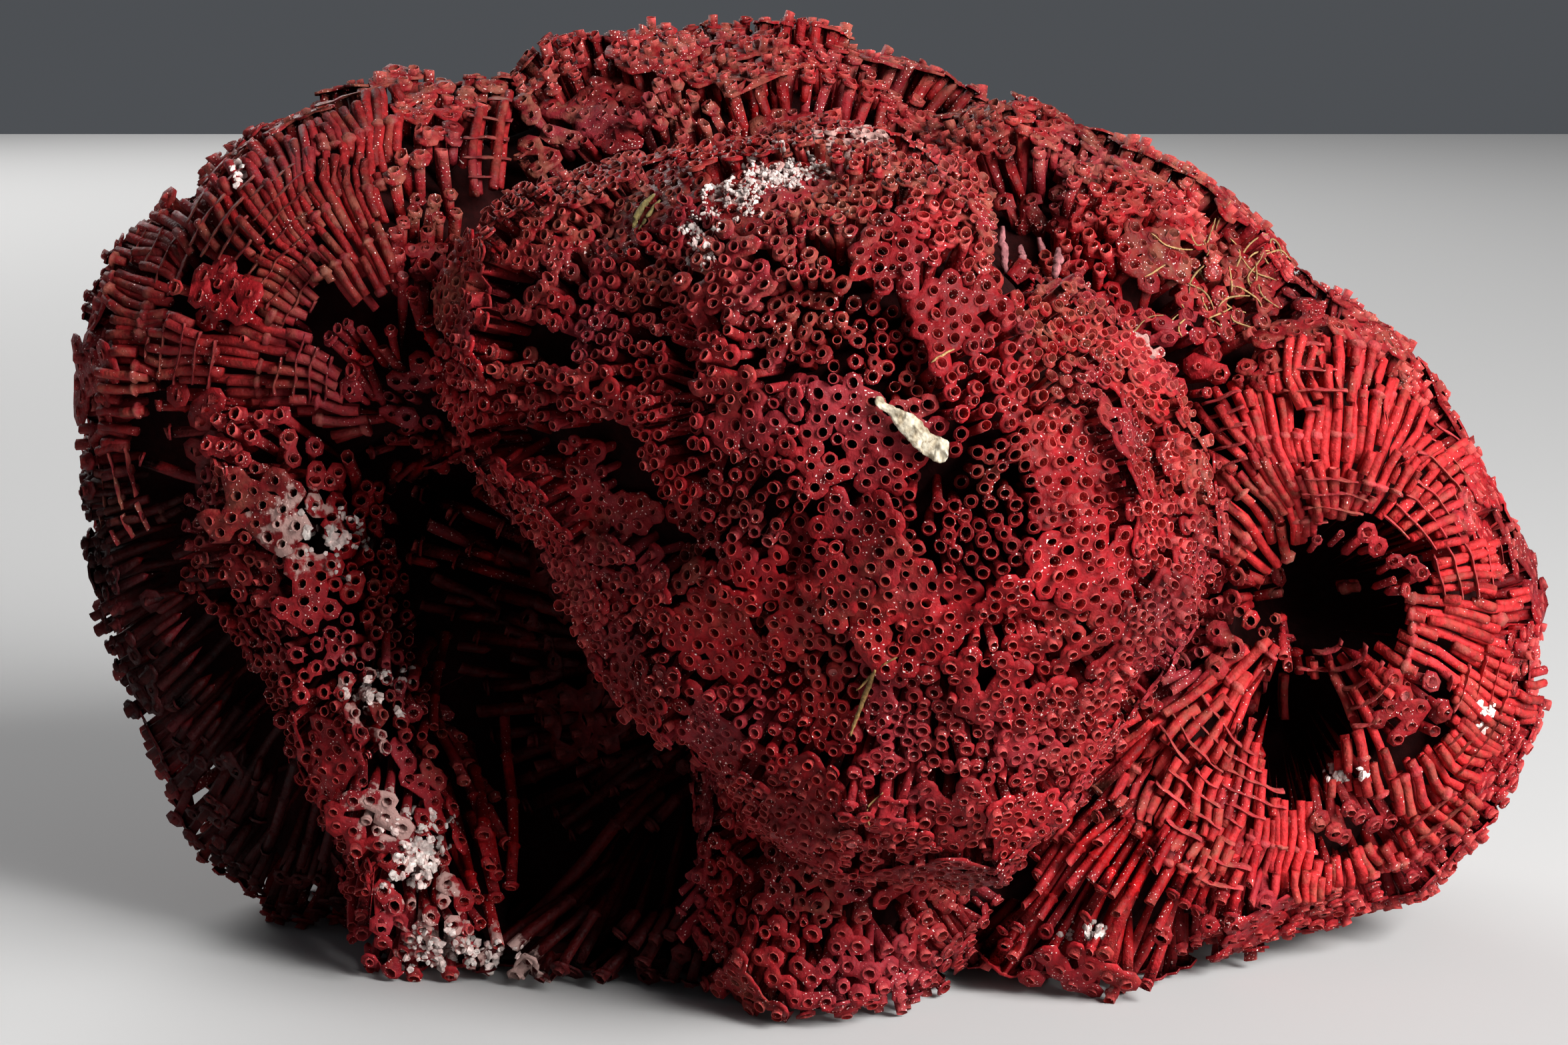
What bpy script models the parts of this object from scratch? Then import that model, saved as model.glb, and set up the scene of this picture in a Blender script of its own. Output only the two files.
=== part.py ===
"""Organ pipe coral: thin upright pipes grown into rounded lobes, cut flat underneath.

Metres, +Z up. The coral stands on z = 0, with the middle of its box over the origin.
The front lobe faces -Y. Each lobe is a mass of lumps, hollowed where it grips what it
grows from, with coarse open pipes, pits and ledges fused to its free surface.
"""

import math
import random

import bmesh
import bpy
from mathutils import Matrix, Vector
from mathutils.bvhtree import BVHTree

MM = 0.001

# Width that the lumps below add up to with their swelling
CORAL_WIDTH = 258 * MM

# Surface grain of the lobes
FRONT_GRAIN = 9.8 * MM
LOBE_GRAIN = 10.8 * MM
ROOT_GRAIN = 13.4 * MM
GRAIN_TURN = 17.0
HIDDEN_SHARE = 0.2
SMOOTH_PASSES = 1
SWELLING_SIZE = 24 * MM
SWELLING_HEIGHT = 7 * MM
SWELLING_INWARD_SHARE = 0.4
FORK_GAP = 0.35 * MM
SHORTEST_EDGE = 0.1 * MM
LUMP_FINENESS = 3
HOLLOW_FINENESS = 2

# Coarse open pipes that stand for bundles of the fine ones
PIPE_RADIUS = 3.3 * MM
PIPE_WALL = 0.9 * MM
PIPE_HEIGHT = 3.2 * MM
PIPE_BORE = 5.5 * MM
PIPE_SPACING = 10.5 * MM
PIPE_CLEARANCE = 7 * MM
CORNER_CLEARANCE = 1.5 * MM
PIT_DEPTH = 3.5 * MM
SMALLEST_QUAD = 55 * MM * MM
QUAD_BEND = math.radians(45.0)
QUAD_SKEW = math.radians(45.0)
MOUTH_INSET = 1.5 * MM
SEED = 7

# Ledges along the flanks where the pipes lie side-on
LEDGE_WIDTH = 9.5 * MM
LEDGE_HEIGHT = 2.2 * MM
LEDGE_SLOPE = 1.0 * MM
FLANK_FACING = 0.6
FRONT_FACING = -0.3

# Lumps of each lobe: centre x, y, z and radius x, y, z, in millimetres
ROOT_LUMPS = [
    (10, 33, 56, 77, 44, 64),
    (-56, 48, 48, 48, 38, 62),
    (58, 48, 44, 50, 40, 58),
    (-5, 50, 92, 62, 38, 46),
    (-34, -6, 4, 35, 28, 13),
]
FRONT_LUMPS = [
    (0, -42, 103, 42, 45, 41),
    (23, -50, 83, 38, 38, 37),
    (14, -50, 52, 30, 27, 27),
    (-8, -42, 70, 30, 28, 26),
    (-32, -32, 106, 30, 27, 30),
    (4, -18, 118, 30, 30, 25),
]
FOOT_LUMPS = [
    (2, -20, 36, 25, 22, 26),
    (-2, -32, 11, 22, 21, 17),
    (10, -24, 14, 20, 18, 16),
]
FAN_LUMPS = [
    (-74, 12, 114, 36, 38, 33),
    (-64, 20, 123, 18, 32, 28),
    (-104, 14, 100, 22, 30, 26),
    (-115, 16, 84, 12, 28, 22),
    (-110, 18, 58, 13, 28, 22),
    (-100, 22, 34, 15, 28, 26),
    (-86, 26, 12, 16, 30, 20),
]
RIDGE_LUMPS = [
    (-90, -2, 88, 13, 24, 14),
    (-88, -4, 74, 10, 25, 13),
    (-83, -5, 60, 11, 25, 13),
    (-79, -6, 44, 11, 26, 14),
    (-73, -6, 27, 12, 27, 14),
    (-66, -6, 9, 14, 27, 15),
    (-101, -6, 69, 8, 15, 8),
]
CROWN_LUMPS = [
    (-14, 34, 121, 36, 38, 37),
    (-37, 26, 125, 23, 32, 31),
    (12, 34, 115, 30, 32, 36),
]
REAR_LUMPS = [
    (48, 18, 111, 27, 36, 28),
    (72, 24, 94, 25, 36, 25),
    (32, 24, 122, 22, 32, 25),
]
RIGHT_LUMPS = [
    (89, 18, 60, 28, 42, 46),
    (90, 12, 30, 25, 31, 27),
    (64, 0, 24, 32, 27, 27),
    (80, 8, 88, 22, 32, 24),
    (113, 16, 44, 14, 28, 23),
    (44, -20, 11, 19, 19, 14),
]

# Where the pipes fan out from in the lobes that carry ledges, in millimetres
LEDGE_ROOTS = {
    "left_outer_fan": (-64, -10, 92),
    "right_lobe": (82, 4, 52),
}

# Hollows cut into the lobes: centre and radius in millimetres, then the turn about Y
HOLLOWS = {
    "front_lobe": [
        (-27, -68, 91, 20, 15, 5, 42),
        (18, -85, 97, 4.3, 14, 2.5, 0),
    ],
    "left_outer_fan": [
        (-52, -4, 134, 3.5, 22, 13, 0),
    ],
    "crown_lobe": [
        (-40, 0, 134, 4, 14, 7, 0),
    ],
    "right_rear_lobe": [
        (34, -8, 121, 8, 20, 8, 0),
    ],
    "right_lobe": [
        (80, -46, 62, 29, 40, 33, 0),
        (85, -10, 62, 13, 30, 10, 0),
        (79, -12, 42, 9, 28, 13, 10),
    ],
}

# How many open pipes and pits each lobe carries
PIPES = {
    "base_mass": (4, 14),
    "front_lobe": (12, 30),
    "foot_knob": (1, 2),
    "left_outer_fan": (4, 11),
    "left_inner_ridge": (1, 3),
    "crown_lobe": (2, 5),
    "right_lobe": (4, 11),
    "right_rear_lobe": (2, 5),
}

# The chip of shell lodged in the front lobe, in millimetres and degrees
CHIP_CENTRE = (12.5, -87, 103)
CHIP_RADII = (7.2, 3.4, 2.2)
CHIP_TILT = 35
CHIP_FINENESS = 2
CHIP_BUMP_SIZE = 4 * MM
CHIP_BUMP_HEIGHT = 1.6 * MM

CORAL_RED = (0.36, 0.035, 0.04)
SHELL_WHITE = (0.80, 0.74, 0.62)


def clear_scene():
    for thing in list(bpy.data.objects):
        bpy.data.objects.remove(thing, do_unlink=True)


def new_collection(name):
    group = bpy.data.collections.new(name)
    bpy.context.scene.collection.children.link(group)
    return group


def plain_material(name, colour, roughness):
    material = bpy.data.materials.new(name)
    material.use_nodes = True
    shader = material.node_tree.nodes["Principled BSDF"]
    shader.inputs["Base Color"].default_value = (*colour, 1.0)
    shader.inputs["Roughness"].default_value = roughness
    shader.inputs["Metallic"].default_value = 0.0
    return material


def ellipsoid_matrix(x, y, z, rx, ry, rz, tilt=0.0):
    place = Matrix.Translation(Vector((x, y, z)) * MM)
    turn = Matrix.Rotation(math.radians(tilt), 4, "Y")
    size = Matrix.Diagonal(Vector((rx, ry, rz, 1.0 / MM)) * MM)
    return place @ turn @ size


def ellipsoids(name, lumps, group, fineness, turn=0.0):
    """One object of overlapping round lumps, whose own axes are turned about Z."""
    shape = bmesh.new()
    own_axes = Matrix.Rotation(math.radians(turn), 4, "Z")
    for lump in lumps:
        place = own_axes.inverted() @ ellipsoid_matrix(*lump)
        bmesh.ops.create_icosphere(shape, subdivisions=fineness, radius=1.0, matrix=place)
    mesh = bpy.data.meshes.new(name)
    shape.to_mesh(mesh)
    shape.free()
    lobe = bpy.data.objects.new(name, mesh)
    lobe.matrix_world = own_axes
    group.objects.link(lobe)
    return lobe


def is_in_lumps(point, lumps):
    """True where a point lies inside one of the lumps."""
    for x, y, z, rx, ry, rz in lumps:
        off = (point.x / MM - x) / rx, (point.y / MM - y) / ry, (point.z / MM - z) / rz
        if off[0] ** 2 + off[1] ** 2 + off[2] ** 2 < 1.0:
            return True
    return False


def thin_where_gripped(lobe, later_lumps):
    """Fewer faces where later lobes cover this one."""
    gripped = lobe.vertex_groups.new(name="gripped")
    covered = [corner.index for corner in lobe.data.vertices if is_in_lumps(corner.co, later_lumps)]
    if not covered:
        return
    gripped.add(covered, 1.0, "REPLACE")
    share = len(covered) / len(lobe.data.vertices)
    thin = lobe.modifiers.new("Thin", "DECIMATE")
    thin.vertex_group = gripped.name
    thin.ratio = 1.0 - share * (1.0 - HIDDEN_SHARE)
    freeze(lobe)


def add_surface(lobe, grain):
    """Melt the lumps into one skin and swell it unevenly."""
    skin = lobe.modifiers.new("Skin", "REMESH")
    skin.mode = "VOXEL"
    skin.voxel_size = grain
    soften = lobe.modifiers.new("Soften", "SMOOTH")
    soften.factor = 0.5
    soften.iterations = SMOOTH_PASSES
    swelling = bpy.data.textures.new(lobe.name + "_swelling", "CLOUDS")
    swelling.noise_scale = SWELLING_SIZE
    swelling.noise_depth = 1
    swell = lobe.modifiers.new("Swell", "DISPLACE")
    swell.texture = swelling
    swell.texture_coords = "GLOBAL"
    swell.mid_level = SWELLING_INWARD_SHARE
    swell.strength = SWELLING_HEIGHT
    lobe.modifiers.new("Facets", "TRIANGULATE")


def freeze(lobe):
    """Turn the object's modifiers into its mesh."""
    view = bpy.context.evaluated_depsgraph_get()
    view.update()
    mesh = bpy.data.meshes.new_from_object(lobe.evaluated_get(view))
    mesh.transform(lobe.matrix_world)
    lobe.modifiers.clear()
    lobe.data = mesh
    lobe.matrix_world = Matrix.Identity(4)


def as_cutter(cutter):
    cutter.hide_render = True
    cutter.display_type = "WIRE"
    return cutter


def grown_cutter(lobe, group):
    """A copy of a lobe, larger by the gap between two lobes."""
    cutter = bpy.data.objects.new(lobe.name + "_grip", lobe.data.copy())
    group.objects.link(cutter)
    grow = cutter.modifiers.new("Gap", "DISPLACE")
    grow.mid_level = 0.0
    grow.strength = FORK_GAP
    freeze(cutter)
    return as_cutter(cutter)


def ground_cutter(group):
    """Everything under the flat cut."""
    shape = bmesh.new()
    side = 2.0 * CORAL_WIDTH
    bmesh.ops.create_cube(shape, size=side, matrix=Matrix.Translation((0.0, 0.0, -side / 2.0)))
    mesh = bpy.data.meshes.new("ground")
    shape.to_mesh(mesh)
    shape.free()
    cutter = bpy.data.objects.new("ground", mesh)
    group.objects.link(cutter)
    return as_cutter(cutter)


def cut(lobe, cutter):
    knife = lobe.modifiers.new("Cut " + cutter.name, "BOOLEAN")
    knife.operation = "DIFFERENCE"
    knife.solver = "EXACT"
    knife.object = cutter


def melt_short_edges(lobe):
    """Close up the slivers that cuts leave where two facets almost touch."""
    shape = bmesh.new()
    shape.from_mesh(lobe.data)
    bmesh.ops.dissolve_degenerate(shape, dist=SHORTEST_EDGE, edges=shape.edges)
    bmesh.ops.triangulate(shape, faces=shape.faces)
    shape.to_mesh(lobe.data)
    shape.free()


def keep_largest_body(lobe):
    """Drop crumbs that the cuts left loose."""
    shape = bmesh.new()
    shape.from_mesh(lobe.data)
    unseen = set(shape.verts)
    bodies = []
    while unseen:
        edge_of_body = [unseen.pop()]
        body = set(edge_of_body)
        while edge_of_body:
            corner = edge_of_body.pop()
            for edge in corner.link_edges:
                other = edge.other_vert(corner)
                if other in unseen:
                    unseen.discard(other)
                    body.add(other)
                    edge_of_body.append(other)
        bodies.append(body)
    bodies.sort(key=len, reverse=True)
    crumbs = [corner for body in bodies[1:] for corner in body]
    bmesh.ops.delete(shape, geom=crumbs, context="VERTS")
    shape.to_mesh(lobe.data)
    shape.free()


def gather_tree(lobes):
    """One search tree of several lobes' faces."""
    corners = []
    faces = []
    for lobe in lobes:
        first = len(corners)
        corners += [corner.co.copy() for corner in lobe.data.vertices]
        faces += [[first + index for index in face.vertices] for face in lobe.data.polygons]
    return BVHTree.FromPolygons(corners, faces)


def is_free(point, others, clearance):
    """True where a point stands clear of the other lobes and of the ground."""
    return point.z > clearance and others.find_nearest(point, clearance)[0] is None


def is_open(face, others):
    """True where a whole face stands clear of the other lobes and of the ground."""
    corners_free = all(is_free(corner.co, others, CORNER_CLEARANCE) for corner in face.verts)
    return corners_free and is_free(face.calc_center_median(), others, PIPE_CLEARANCE)


def pair_triangles(shape, others):
    """Join the free triangles in pairs, as quads."""
    free = [face for face in shape.faces if is_open(face, others)]
    bmesh.ops.join_triangles(
        shape,
        faces=free,
        angle_face_threshold=QUAD_BEND,
        angle_shape_threshold=QUAD_SKEW,
    )


def round_face(shape, face):
    """Inset a quad, with a six-sided face of a pipe's width in the middle."""
    middle = face.calc_center_median()
    normal = face.normal.copy()
    bmesh.ops.inset_individual(shape, faces=[face], thickness=MOUTH_INSET, use_even_offset=True)
    sides = list(face.edges)
    bmesh.ops.subdivide_edges(shape, edges=[sides[0], sides[2]], cuts=1)
    across = (face.verts[0].co - middle).cross(normal).normalized()
    along = normal.cross(across)
    start = math.atan2((face.verts[0].co - middle).dot(along), (face.verts[0].co - middle).dot(across))
    turning = (face.verts[1].co - middle).cross(face.verts[0].co - middle).dot(normal)
    step = -math.copysign(math.tau / len(face.verts), turning * across.cross(along).dot(normal))
    for number, corner in enumerate(list(face.verts)):
        angle = start + number * step
        corner.co = middle + PIPE_RADIUS * (math.cos(angle) * across + math.sin(angle) * along)
    return face, normal


def push_face(shape, face, shift, narrow=0.0):
    """Inset a face by narrow, then extrude it by shift."""
    if narrow:
        bmesh.ops.inset_individual(shape, faces=[face], thickness=narrow, use_even_offset=True)
    moved = bmesh.ops.extrude_discrete_faces(shape, faces=[face])["faces"][0]
    bmesh.ops.translate(shape, verts=moved.verts, vec=shift)
    return moved


def add_pipes(shape, others, pipes, pits, draw):
    """Open pipes and pits on free quads, well apart."""
    quads = [face for face in shape.faces if len(face.verts) == 4 and face.calc_area() > SMALLEST_QUAD]
    draw.shuffle(quads)
    taken = []
    for face in quads:
        if len(taken) == pipes + pits:
            break
        middle = face.calc_center_median()
        top = middle + face.normal * (PIPE_HEIGHT + PIPE_CLEARANCE)
        crowded = any((middle - other).length < PIPE_SPACING for other in taken)
        if crowded or not is_free(middle, others, PIPE_CLEARANCE) or not is_free(top, others, PIPE_CLEARANCE):
            continue
        mouth, normal = round_face(shape, face)
        if len(taken) < pipes:
            mouth = push_face(shape, mouth, normal * PIPE_HEIGHT)
            push_face(shape, mouth, -normal * PIPE_BORE, PIPE_WALL)
        else:
            push_face(shape, mouth, -normal * PIT_DEPTH)
        taken.append(middle)


def add_ledges(shape, others, root):
    """Raise every second band of the flanks that face across the pipes, like the cross plates."""
    bands = {}
    for face in shape.faces:
        middle = face.calc_center_median()
        outward = middle - root
        across = abs(face.normal.dot(outward.normalized())) < FLANK_FACING
        if across and face.normal.y < FRONT_FACING and is_free(middle, others, PIPE_CLEARANCE):
            band = int(outward.length / LEDGE_WIDTH)
            raised = band % 2 == 1
            if raised:
                bands.setdefault(band, []).append(face)
    for faces in bands.values():
        bmesh.ops.inset_region(
            shape,
            faces=faces,
            thickness=LEDGE_SLOPE,
            depth=LEDGE_HEIGHT,
            use_even_offset=True,
        )


def dress_lobe(lobe, others, draw):
    shape = bmesh.new()
    shape.from_mesh(lobe.data)
    pair_triangles(shape, others)
    if lobe.name in LEDGE_ROOTS:
        add_ledges(shape, others, Vector(LEDGE_ROOTS[lobe.name]) * MM)
    pipes, pits = PIPES[lobe.name]
    add_pipes(shape, others, pipes, pits, draw)
    shape.to_mesh(lobe.data)
    shape.free()


def make_chip(group):
    """The lodged chip: a long crooked flake with a rough skin."""
    chip = ellipsoids("shell_chip", [(*CHIP_CENTRE, *CHIP_RADII, CHIP_TILT)], group, CHIP_FINENESS)
    rough = bpy.data.textures.new("chip_bumps", "CLOUDS")
    rough.noise_scale = CHIP_BUMP_SIZE
    bumps = chip.modifiers.new("Bumps", "DISPLACE")
    bumps.texture = rough
    bumps.texture_coords = "GLOBAL"
    bumps.strength = CHIP_BUMP_HEIGHT
    chip.modifiers.new("Facets", "TRIANGULATE")
    freeze(chip)
    return chip


def stand_over_origin(lobes):
    """Move all lobes so that the middle of their box is over the origin."""
    corners = [corner.co for lobe in lobes for corner in lobe.data.vertices]
    middle_x = (min(c.x for c in corners) + max(c.x for c in corners)) / 2.0
    middle_y = (min(c.y for c in corners) + max(c.y for c in corners)) / 2.0
    for lobe in lobes:
        lobe.data.transform(Matrix.Translation((-middle_x, -middle_y, 0.0)))


def build_coral():
    clear_scene()
    coral = new_collection("organ_pipe_coral")
    cutters = new_collection("cutters")
    red = plain_material("coral_skeleton", CORAL_RED, 0.7)
    white = plain_material("shell_chip", SHELL_WHITE, 0.8)
    ground = ground_cutter(cutters)
    lumps_of = {
        "base_mass": ROOT_LUMPS,
        "front_lobe": FRONT_LUMPS,
        "foot_knob": FOOT_LUMPS,
        "left_outer_fan": FAN_LUMPS,
        "left_inner_ridge": RIDGE_LUMPS,
        "crown_lobe": CROWN_LUMPS,
        "right_lobe": RIGHT_LUMPS,
        "right_rear_lobe": REAR_LUMPS,
    }
    grain_of = {"base_mass": ROOT_GRAIN, "front_lobe": FRONT_GRAIN}
    chip = make_chip(coral)
    grips = [grown_cutter(chip, cutters)]
    lobes = []
    names = list(lumps_of)
    for order, name in enumerate(names):
        lobe = ellipsoids(name, lumps_of[name], coral, LUMP_FINENESS, order * GRAIN_TURN)
        add_surface(lobe, grain_of.get(name, LOBE_GRAIN))
        freeze(lobe)
        thin_where_gripped(lobe, [lump for later in names[order + 1:] for lump in lumps_of[later]])
        grip = grown_cutter(lobe, cutters)
        for earlier in grips:
            cut(lobe, earlier)
        for number, hollow in enumerate(HOLLOWS.get(name, [])):
            cutter = ellipsoids(f"{name}_hollow_{number}", [hollow], cutters, HOLLOW_FINENESS)
            cut(lobe, as_cutter(cutter))
        cut(lobe, ground)
        freeze(lobe)
        melt_short_edges(lobe)
        keep_largest_body(lobe)
        grips.append(grip)
        lobes.append(lobe)
    draw = random.Random(SEED)
    for lobe in lobes:
        others = gather_tree([other for other in lobes + [chip] if other is not lobe])
        dress_lobe(lobe, others, draw)
        lobe.data.materials.clear()
        lobe.data.materials.append(red)
    chip.data.materials.clear()
    chip.data.materials.append(white)
    stand_over_origin(lobes + [chip])


build_coral()
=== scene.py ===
"""Looks of the organ pipe coral: every lobe is rebuilt from thin open pipes.

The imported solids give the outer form. Pipes fan out from a root inside each lobe and end
on that form in stepped patches, joined by cross plates, as the real skeleton grows.
Arrays are in millimetres in the frame's axes, and turn to metres when a mesh is made.
"""

import itertools
import math

import bmesh
import bpy
import numpy as np
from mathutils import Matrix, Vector, geometry, kdtree
from mathutils.bvhtree import BVHTree


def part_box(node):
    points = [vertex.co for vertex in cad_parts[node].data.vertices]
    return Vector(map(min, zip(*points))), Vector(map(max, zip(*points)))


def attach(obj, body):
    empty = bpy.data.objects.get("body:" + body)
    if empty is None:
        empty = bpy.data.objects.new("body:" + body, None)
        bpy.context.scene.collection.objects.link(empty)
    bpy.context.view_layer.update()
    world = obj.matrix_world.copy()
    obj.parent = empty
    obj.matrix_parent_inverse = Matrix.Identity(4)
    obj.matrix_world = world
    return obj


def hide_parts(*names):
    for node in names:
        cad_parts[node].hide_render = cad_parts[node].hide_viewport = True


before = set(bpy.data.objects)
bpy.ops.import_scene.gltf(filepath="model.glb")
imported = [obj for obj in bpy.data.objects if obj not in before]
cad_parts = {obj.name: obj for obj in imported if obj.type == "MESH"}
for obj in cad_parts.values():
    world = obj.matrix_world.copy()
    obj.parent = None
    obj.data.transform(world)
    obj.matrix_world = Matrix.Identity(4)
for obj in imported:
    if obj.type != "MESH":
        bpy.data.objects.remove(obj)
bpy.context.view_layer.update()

MM = 0.001

# Camera of the photograph
IMAGE_SIZE = (2352, 1568)
SENSOR = 36.0
LENS = 85.0
CAMERA_TARGET = np.array((-5.9, 0.0, 74.7))
CAMERA_DISTANCE = 626.0
CAMERA_ELEVATION = math.radians(10.0)
CAMERA_AXIS = np.array((0.0, math.cos(CAMERA_ELEVATION), -math.sin(CAMERA_ELEVATION)))
CAMERA_UP = np.array((0.0, math.sin(CAMERA_ELEVATION), math.cos(CAMERA_ELEVATION)))
CAMERA_PLACE = CAMERA_TARGET - CAMERA_AXIS * CAMERA_DISTANCE

# Outer form: the relief's sizes, heights and seeds come last
FORM_VOXEL = 2.8
FORM_SMOOTHING = 4
FORM_GROWTH = 1.8
GRID_STEP = 3.5
GRID_MARGIN = 10.0
RELIEF = ((16.0, 1.7, 3), (8.0, 0.9, 4))

# Growth of the pipes, outwards from a lobe's root in shells that widen
HIDDEN_DEPTH = 9.0
APEX_REACH = 20.0
GROWTH_REACH = 150.0
RAY_STEP = 2.0
RAYS_AT_ONCE = 6000
FIRST_SHELL = 10.0
SHELL_GROWTH = 1.19
SHORTEST_PIPE = 3.0
YOUNG_LENGTH = 5.0
JUVENILE_AGE = 7.0
BOTTOM_PITCH = 3.4
BOTTOM_HEIGHT = 1.0

# Pipes that leave the surface at a slant stand closer together
GRAZING = 0.5
GRAZING_PITCH = 0.86

# The way to the viewer, and how far a surface may turn from it and still be made finely
TO_VIEWER = np.array((0.0, -0.985, 0.174))
SEEN_FACING = -0.15

# Section of a pipe: its radius is a share of the pitch
PIPE_SHARE = 0.445
BACK_SIDES = 6
LID_DEPTH = 0.25
BORE_DEPTH = 3.6
BARE_LENGTH = 7.0

# Cross plates, and the patches of pipes that they join
PLATE_PITCH = 8.5
PLATE_THICKNESS = 0.42
PATCH_SIZE = 13.0
SHEET_SHARES = (0.56, 1.0)
BARE_REACH = 1.12
COLLARED = 0.6
COLLAR_SHARE = 0.62
COLLAR_DEPTH = 34.0
MOST_COLLARS = 8

# Painted shade: darker, duller pipes in the hollows
CAVITY_LOBE = "base_mass"
CAVITY_BACK = 12.0
CAVITY_SIDE = 40.0
CAVITY_SHADE_TONE = 0.22
HOLLOW_LOBE = "left_outer_fan"
HOLLOW_TOP = 97.0
HOLLOW_FADE = 16.0
HOLLOW_SHADE_TONE = 0.15
# How much painted shade dulls a place: no rosy patches, dust or glints there
DIM_DULLNESS = 0.22


class Lobe:
    """How the pipes of one lobe grow and how finely they are made."""

    def __init__(self, root, pitch, back_pitch, sides, tries, split=None, tone=1.0):
        self.root = np.array(root, float)
        self.split = split
        self.pitch = pitch
        self.back_pitch = back_pitch
        self.sides = sides
        self.tries = tries
        self.tone = tone


# The last value, tone, paints light and shade: the right lobe lighter, and the outer fan, crown and rear
# lobe darker, as light falls on them
LOBES = {
    "front_lobe": Lobe((12, 5, 88), 1.86, 2.6, 10, 120000, split=97.0),
    "foot_knob": Lobe((4, -12, 40), 2.15, 2.7, 8, 40000),
    "left_inner_ridge": Lobe((-76, 40, 50), 2.2, 2.7, 7, 50000),
    "left_outer_fan": Lobe((-62, -8, 90), 2.25, 2.7, 7, 60000, tone=0.85),
    "crown_lobe": Lobe((-10, 20, 90), 2.25, 2.7, 7, 60000, tone=0.88),
    "right_rear_lobe": Lobe((40, 10, 92), 2.25, 2.7, 7, 60000, tone=0.85),
    "right_lobe": Lobe((80, 1, 58), 2.2, 2.7, 7, 60000, tone=1.15),
    "base_mass": Lobe((0, 10, 45), 2.7, 3.1, 6, 60000),
}

# Faces of a lobe where the pipes lie side-on, in patches of three kinds
RIBS, LATTICE, MOUTHS = range(3)
FLANK_FACING = 0.42
FLANK_PITCH = 1.75
FLANK_STEP = 1.25
FLANK_SIDES = 7
FLANK_PATCH = 9.0
FLANK_SPOTS = 6000
FLANK_BOTTOM = 2.0
FLANK_DULLNESS = 0.035
FLANK_GROWTH = 1.07
UNDER_LEVEL = 2.9
RIB_PLATES = 7.5
ARC_PITCH = 2.7
ARC_SIDES = 6
FRONT_OF_ALL = -100.0
FRONT_DEPTHS = np.arange(0.0, 170.0)
STEEPEST_STEP = 2.5

# Lobe, middle and reach in the front view, first and last angle, seed, shares of the three
# kinds of patch, and tone, which paints light on the right lobe and shade on the outer fan
FLANKS = [
    ("right_lobe", (82, 61), (8, 47), (-150, 172), 31, (0.42, 0.46, 0.12), 1.28),
    ("left_outer_fan", (-60, 97), (9, 66), (62, 205), 32, (0.36, 0.46, 0.18), 0.56),
]


class Flank:
    """A face of a lobe where the pipes lie side-on and fan out over it from a middle.

    It is made of patches: terraces at their own levels, some of bare ribs, some crossed by
    close plates, and some where ordinary pipes show their mouths.
    """

    def __init__(self, lobe, middle, reach, turns, seed, kinds, tone):
        self.lobe = lobe
        self.middle = np.array(middle, float)
        self.reach = reach
        self.turns = np.radians(turns)
        draw = np.random.default_rng(seed)
        spread = draw.uniform(-1.0, 1.0, (FLANK_SPOTS, 2)) * reach[1] + self.middle
        centres = []
        for spot in spread:
            if all(np.hypot(*(spot - other)) > FLANK_PATCH for other in centres):
                centres.append(spot)
        self.centres = np.array(centres)
        self.level = draw.uniform(0.0, 2.8, len(centres)) ** 1.2
        self.tone = tone * draw.uniform(0.72, 1.15, len(centres))
        self.under_tone = tone * 1.25
        self.shift = draw.uniform(0.0, 3.0, len(centres))
        self.kind = draw.choice(3, len(centres), p=kinds)

    def patch(self, side, rise):
        """The patch that each place of the front view is in."""
        spots = np.stack([side, rise], -1)
        return np.linalg.norm(spots[..., None, :] - self.centres, axis=-1).argmin(-1)

    def holds(self, points, normals):
        """Which points of the coral's surface carry pipes that lie side-on."""
        side, rise = points[..., 0] - self.middle[0], points[..., 2] - self.middle[1]
        away = np.hypot(side, rise) - 3.0 * smooth_noise(points, 7.0, 305)
        turn = (np.arctan2(rise, side) - self.turns[0]) % math.tau + self.turns[0]
        inside = (away > self.reach[0]) & (away < self.reach[1]) & (turn < self.turns[1])
        inside &= self.kind[self.patch(points[..., 0], points[..., 2])] != MOUTHS
        return inside & (normals @ TO_VIEWER > FLANK_FACING)


# Soft noise and the outer form

def between_corners(grid, low, part, period=None):
    """Values between a grid's points, by each place's cell and its part of the way through it."""
    value = np.zeros(low.shape[:-1])
    for corner in itertools.product((0, 1), repeat=3):
        weight = np.ones(low.shape[:-1])
        for axis, side in enumerate(corner):
            weight = weight * (part[..., axis] if side else 1.0 - part[..., axis])
        index = low + np.array(corner)
        if period:
            index = index % period
        value += weight * grid[index[..., 0], index[..., 1], index[..., 2]]
    return value


def smooth_noise(points, size, seed):
    """Soft random values from -1 to 1 that vary over about size millimetres."""
    period = 32
    lattice = np.random.default_rng(seed).uniform(-1.0, 1.0, (period,) * 3)
    cells = points / size
    low = np.floor(cells).astype(int)
    part = cells - low
    return between_corners(lattice, low, part * part * (3.0 - 2.0 * part), period)


def noise_vectors(points, size, seed):
    """Soft random vectors."""
    return np.stack([smooth_noise(points, size, seed + axis) for axis in range(3)], -1)


def unit(vectors):
    """Vectors of length 1 with the same directions."""
    return vectors / np.maximum(np.linalg.norm(vectors, axis=-1, keepdims=True), 1e-9)


def solid_faces(names):
    """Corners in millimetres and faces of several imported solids, and each face's name."""
    corners, faces, owners = [], [], []
    for name in names:
        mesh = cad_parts[name].data
        first = len(corners)
        corners += [corner.co / MM for corner in mesh.vertices]
        faces += [[first + index for index in face.vertices] for face in mesh.polygons]
        owners += [name] * len(mesh.polygons)
    return corners, faces, owners


def voxel_skin(size):
    """The change that melts overlapping solids into one skin, for reshaped()."""
    return "REMESH", {"mode": "VOXEL", "voxel_size": size * MM}


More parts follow.
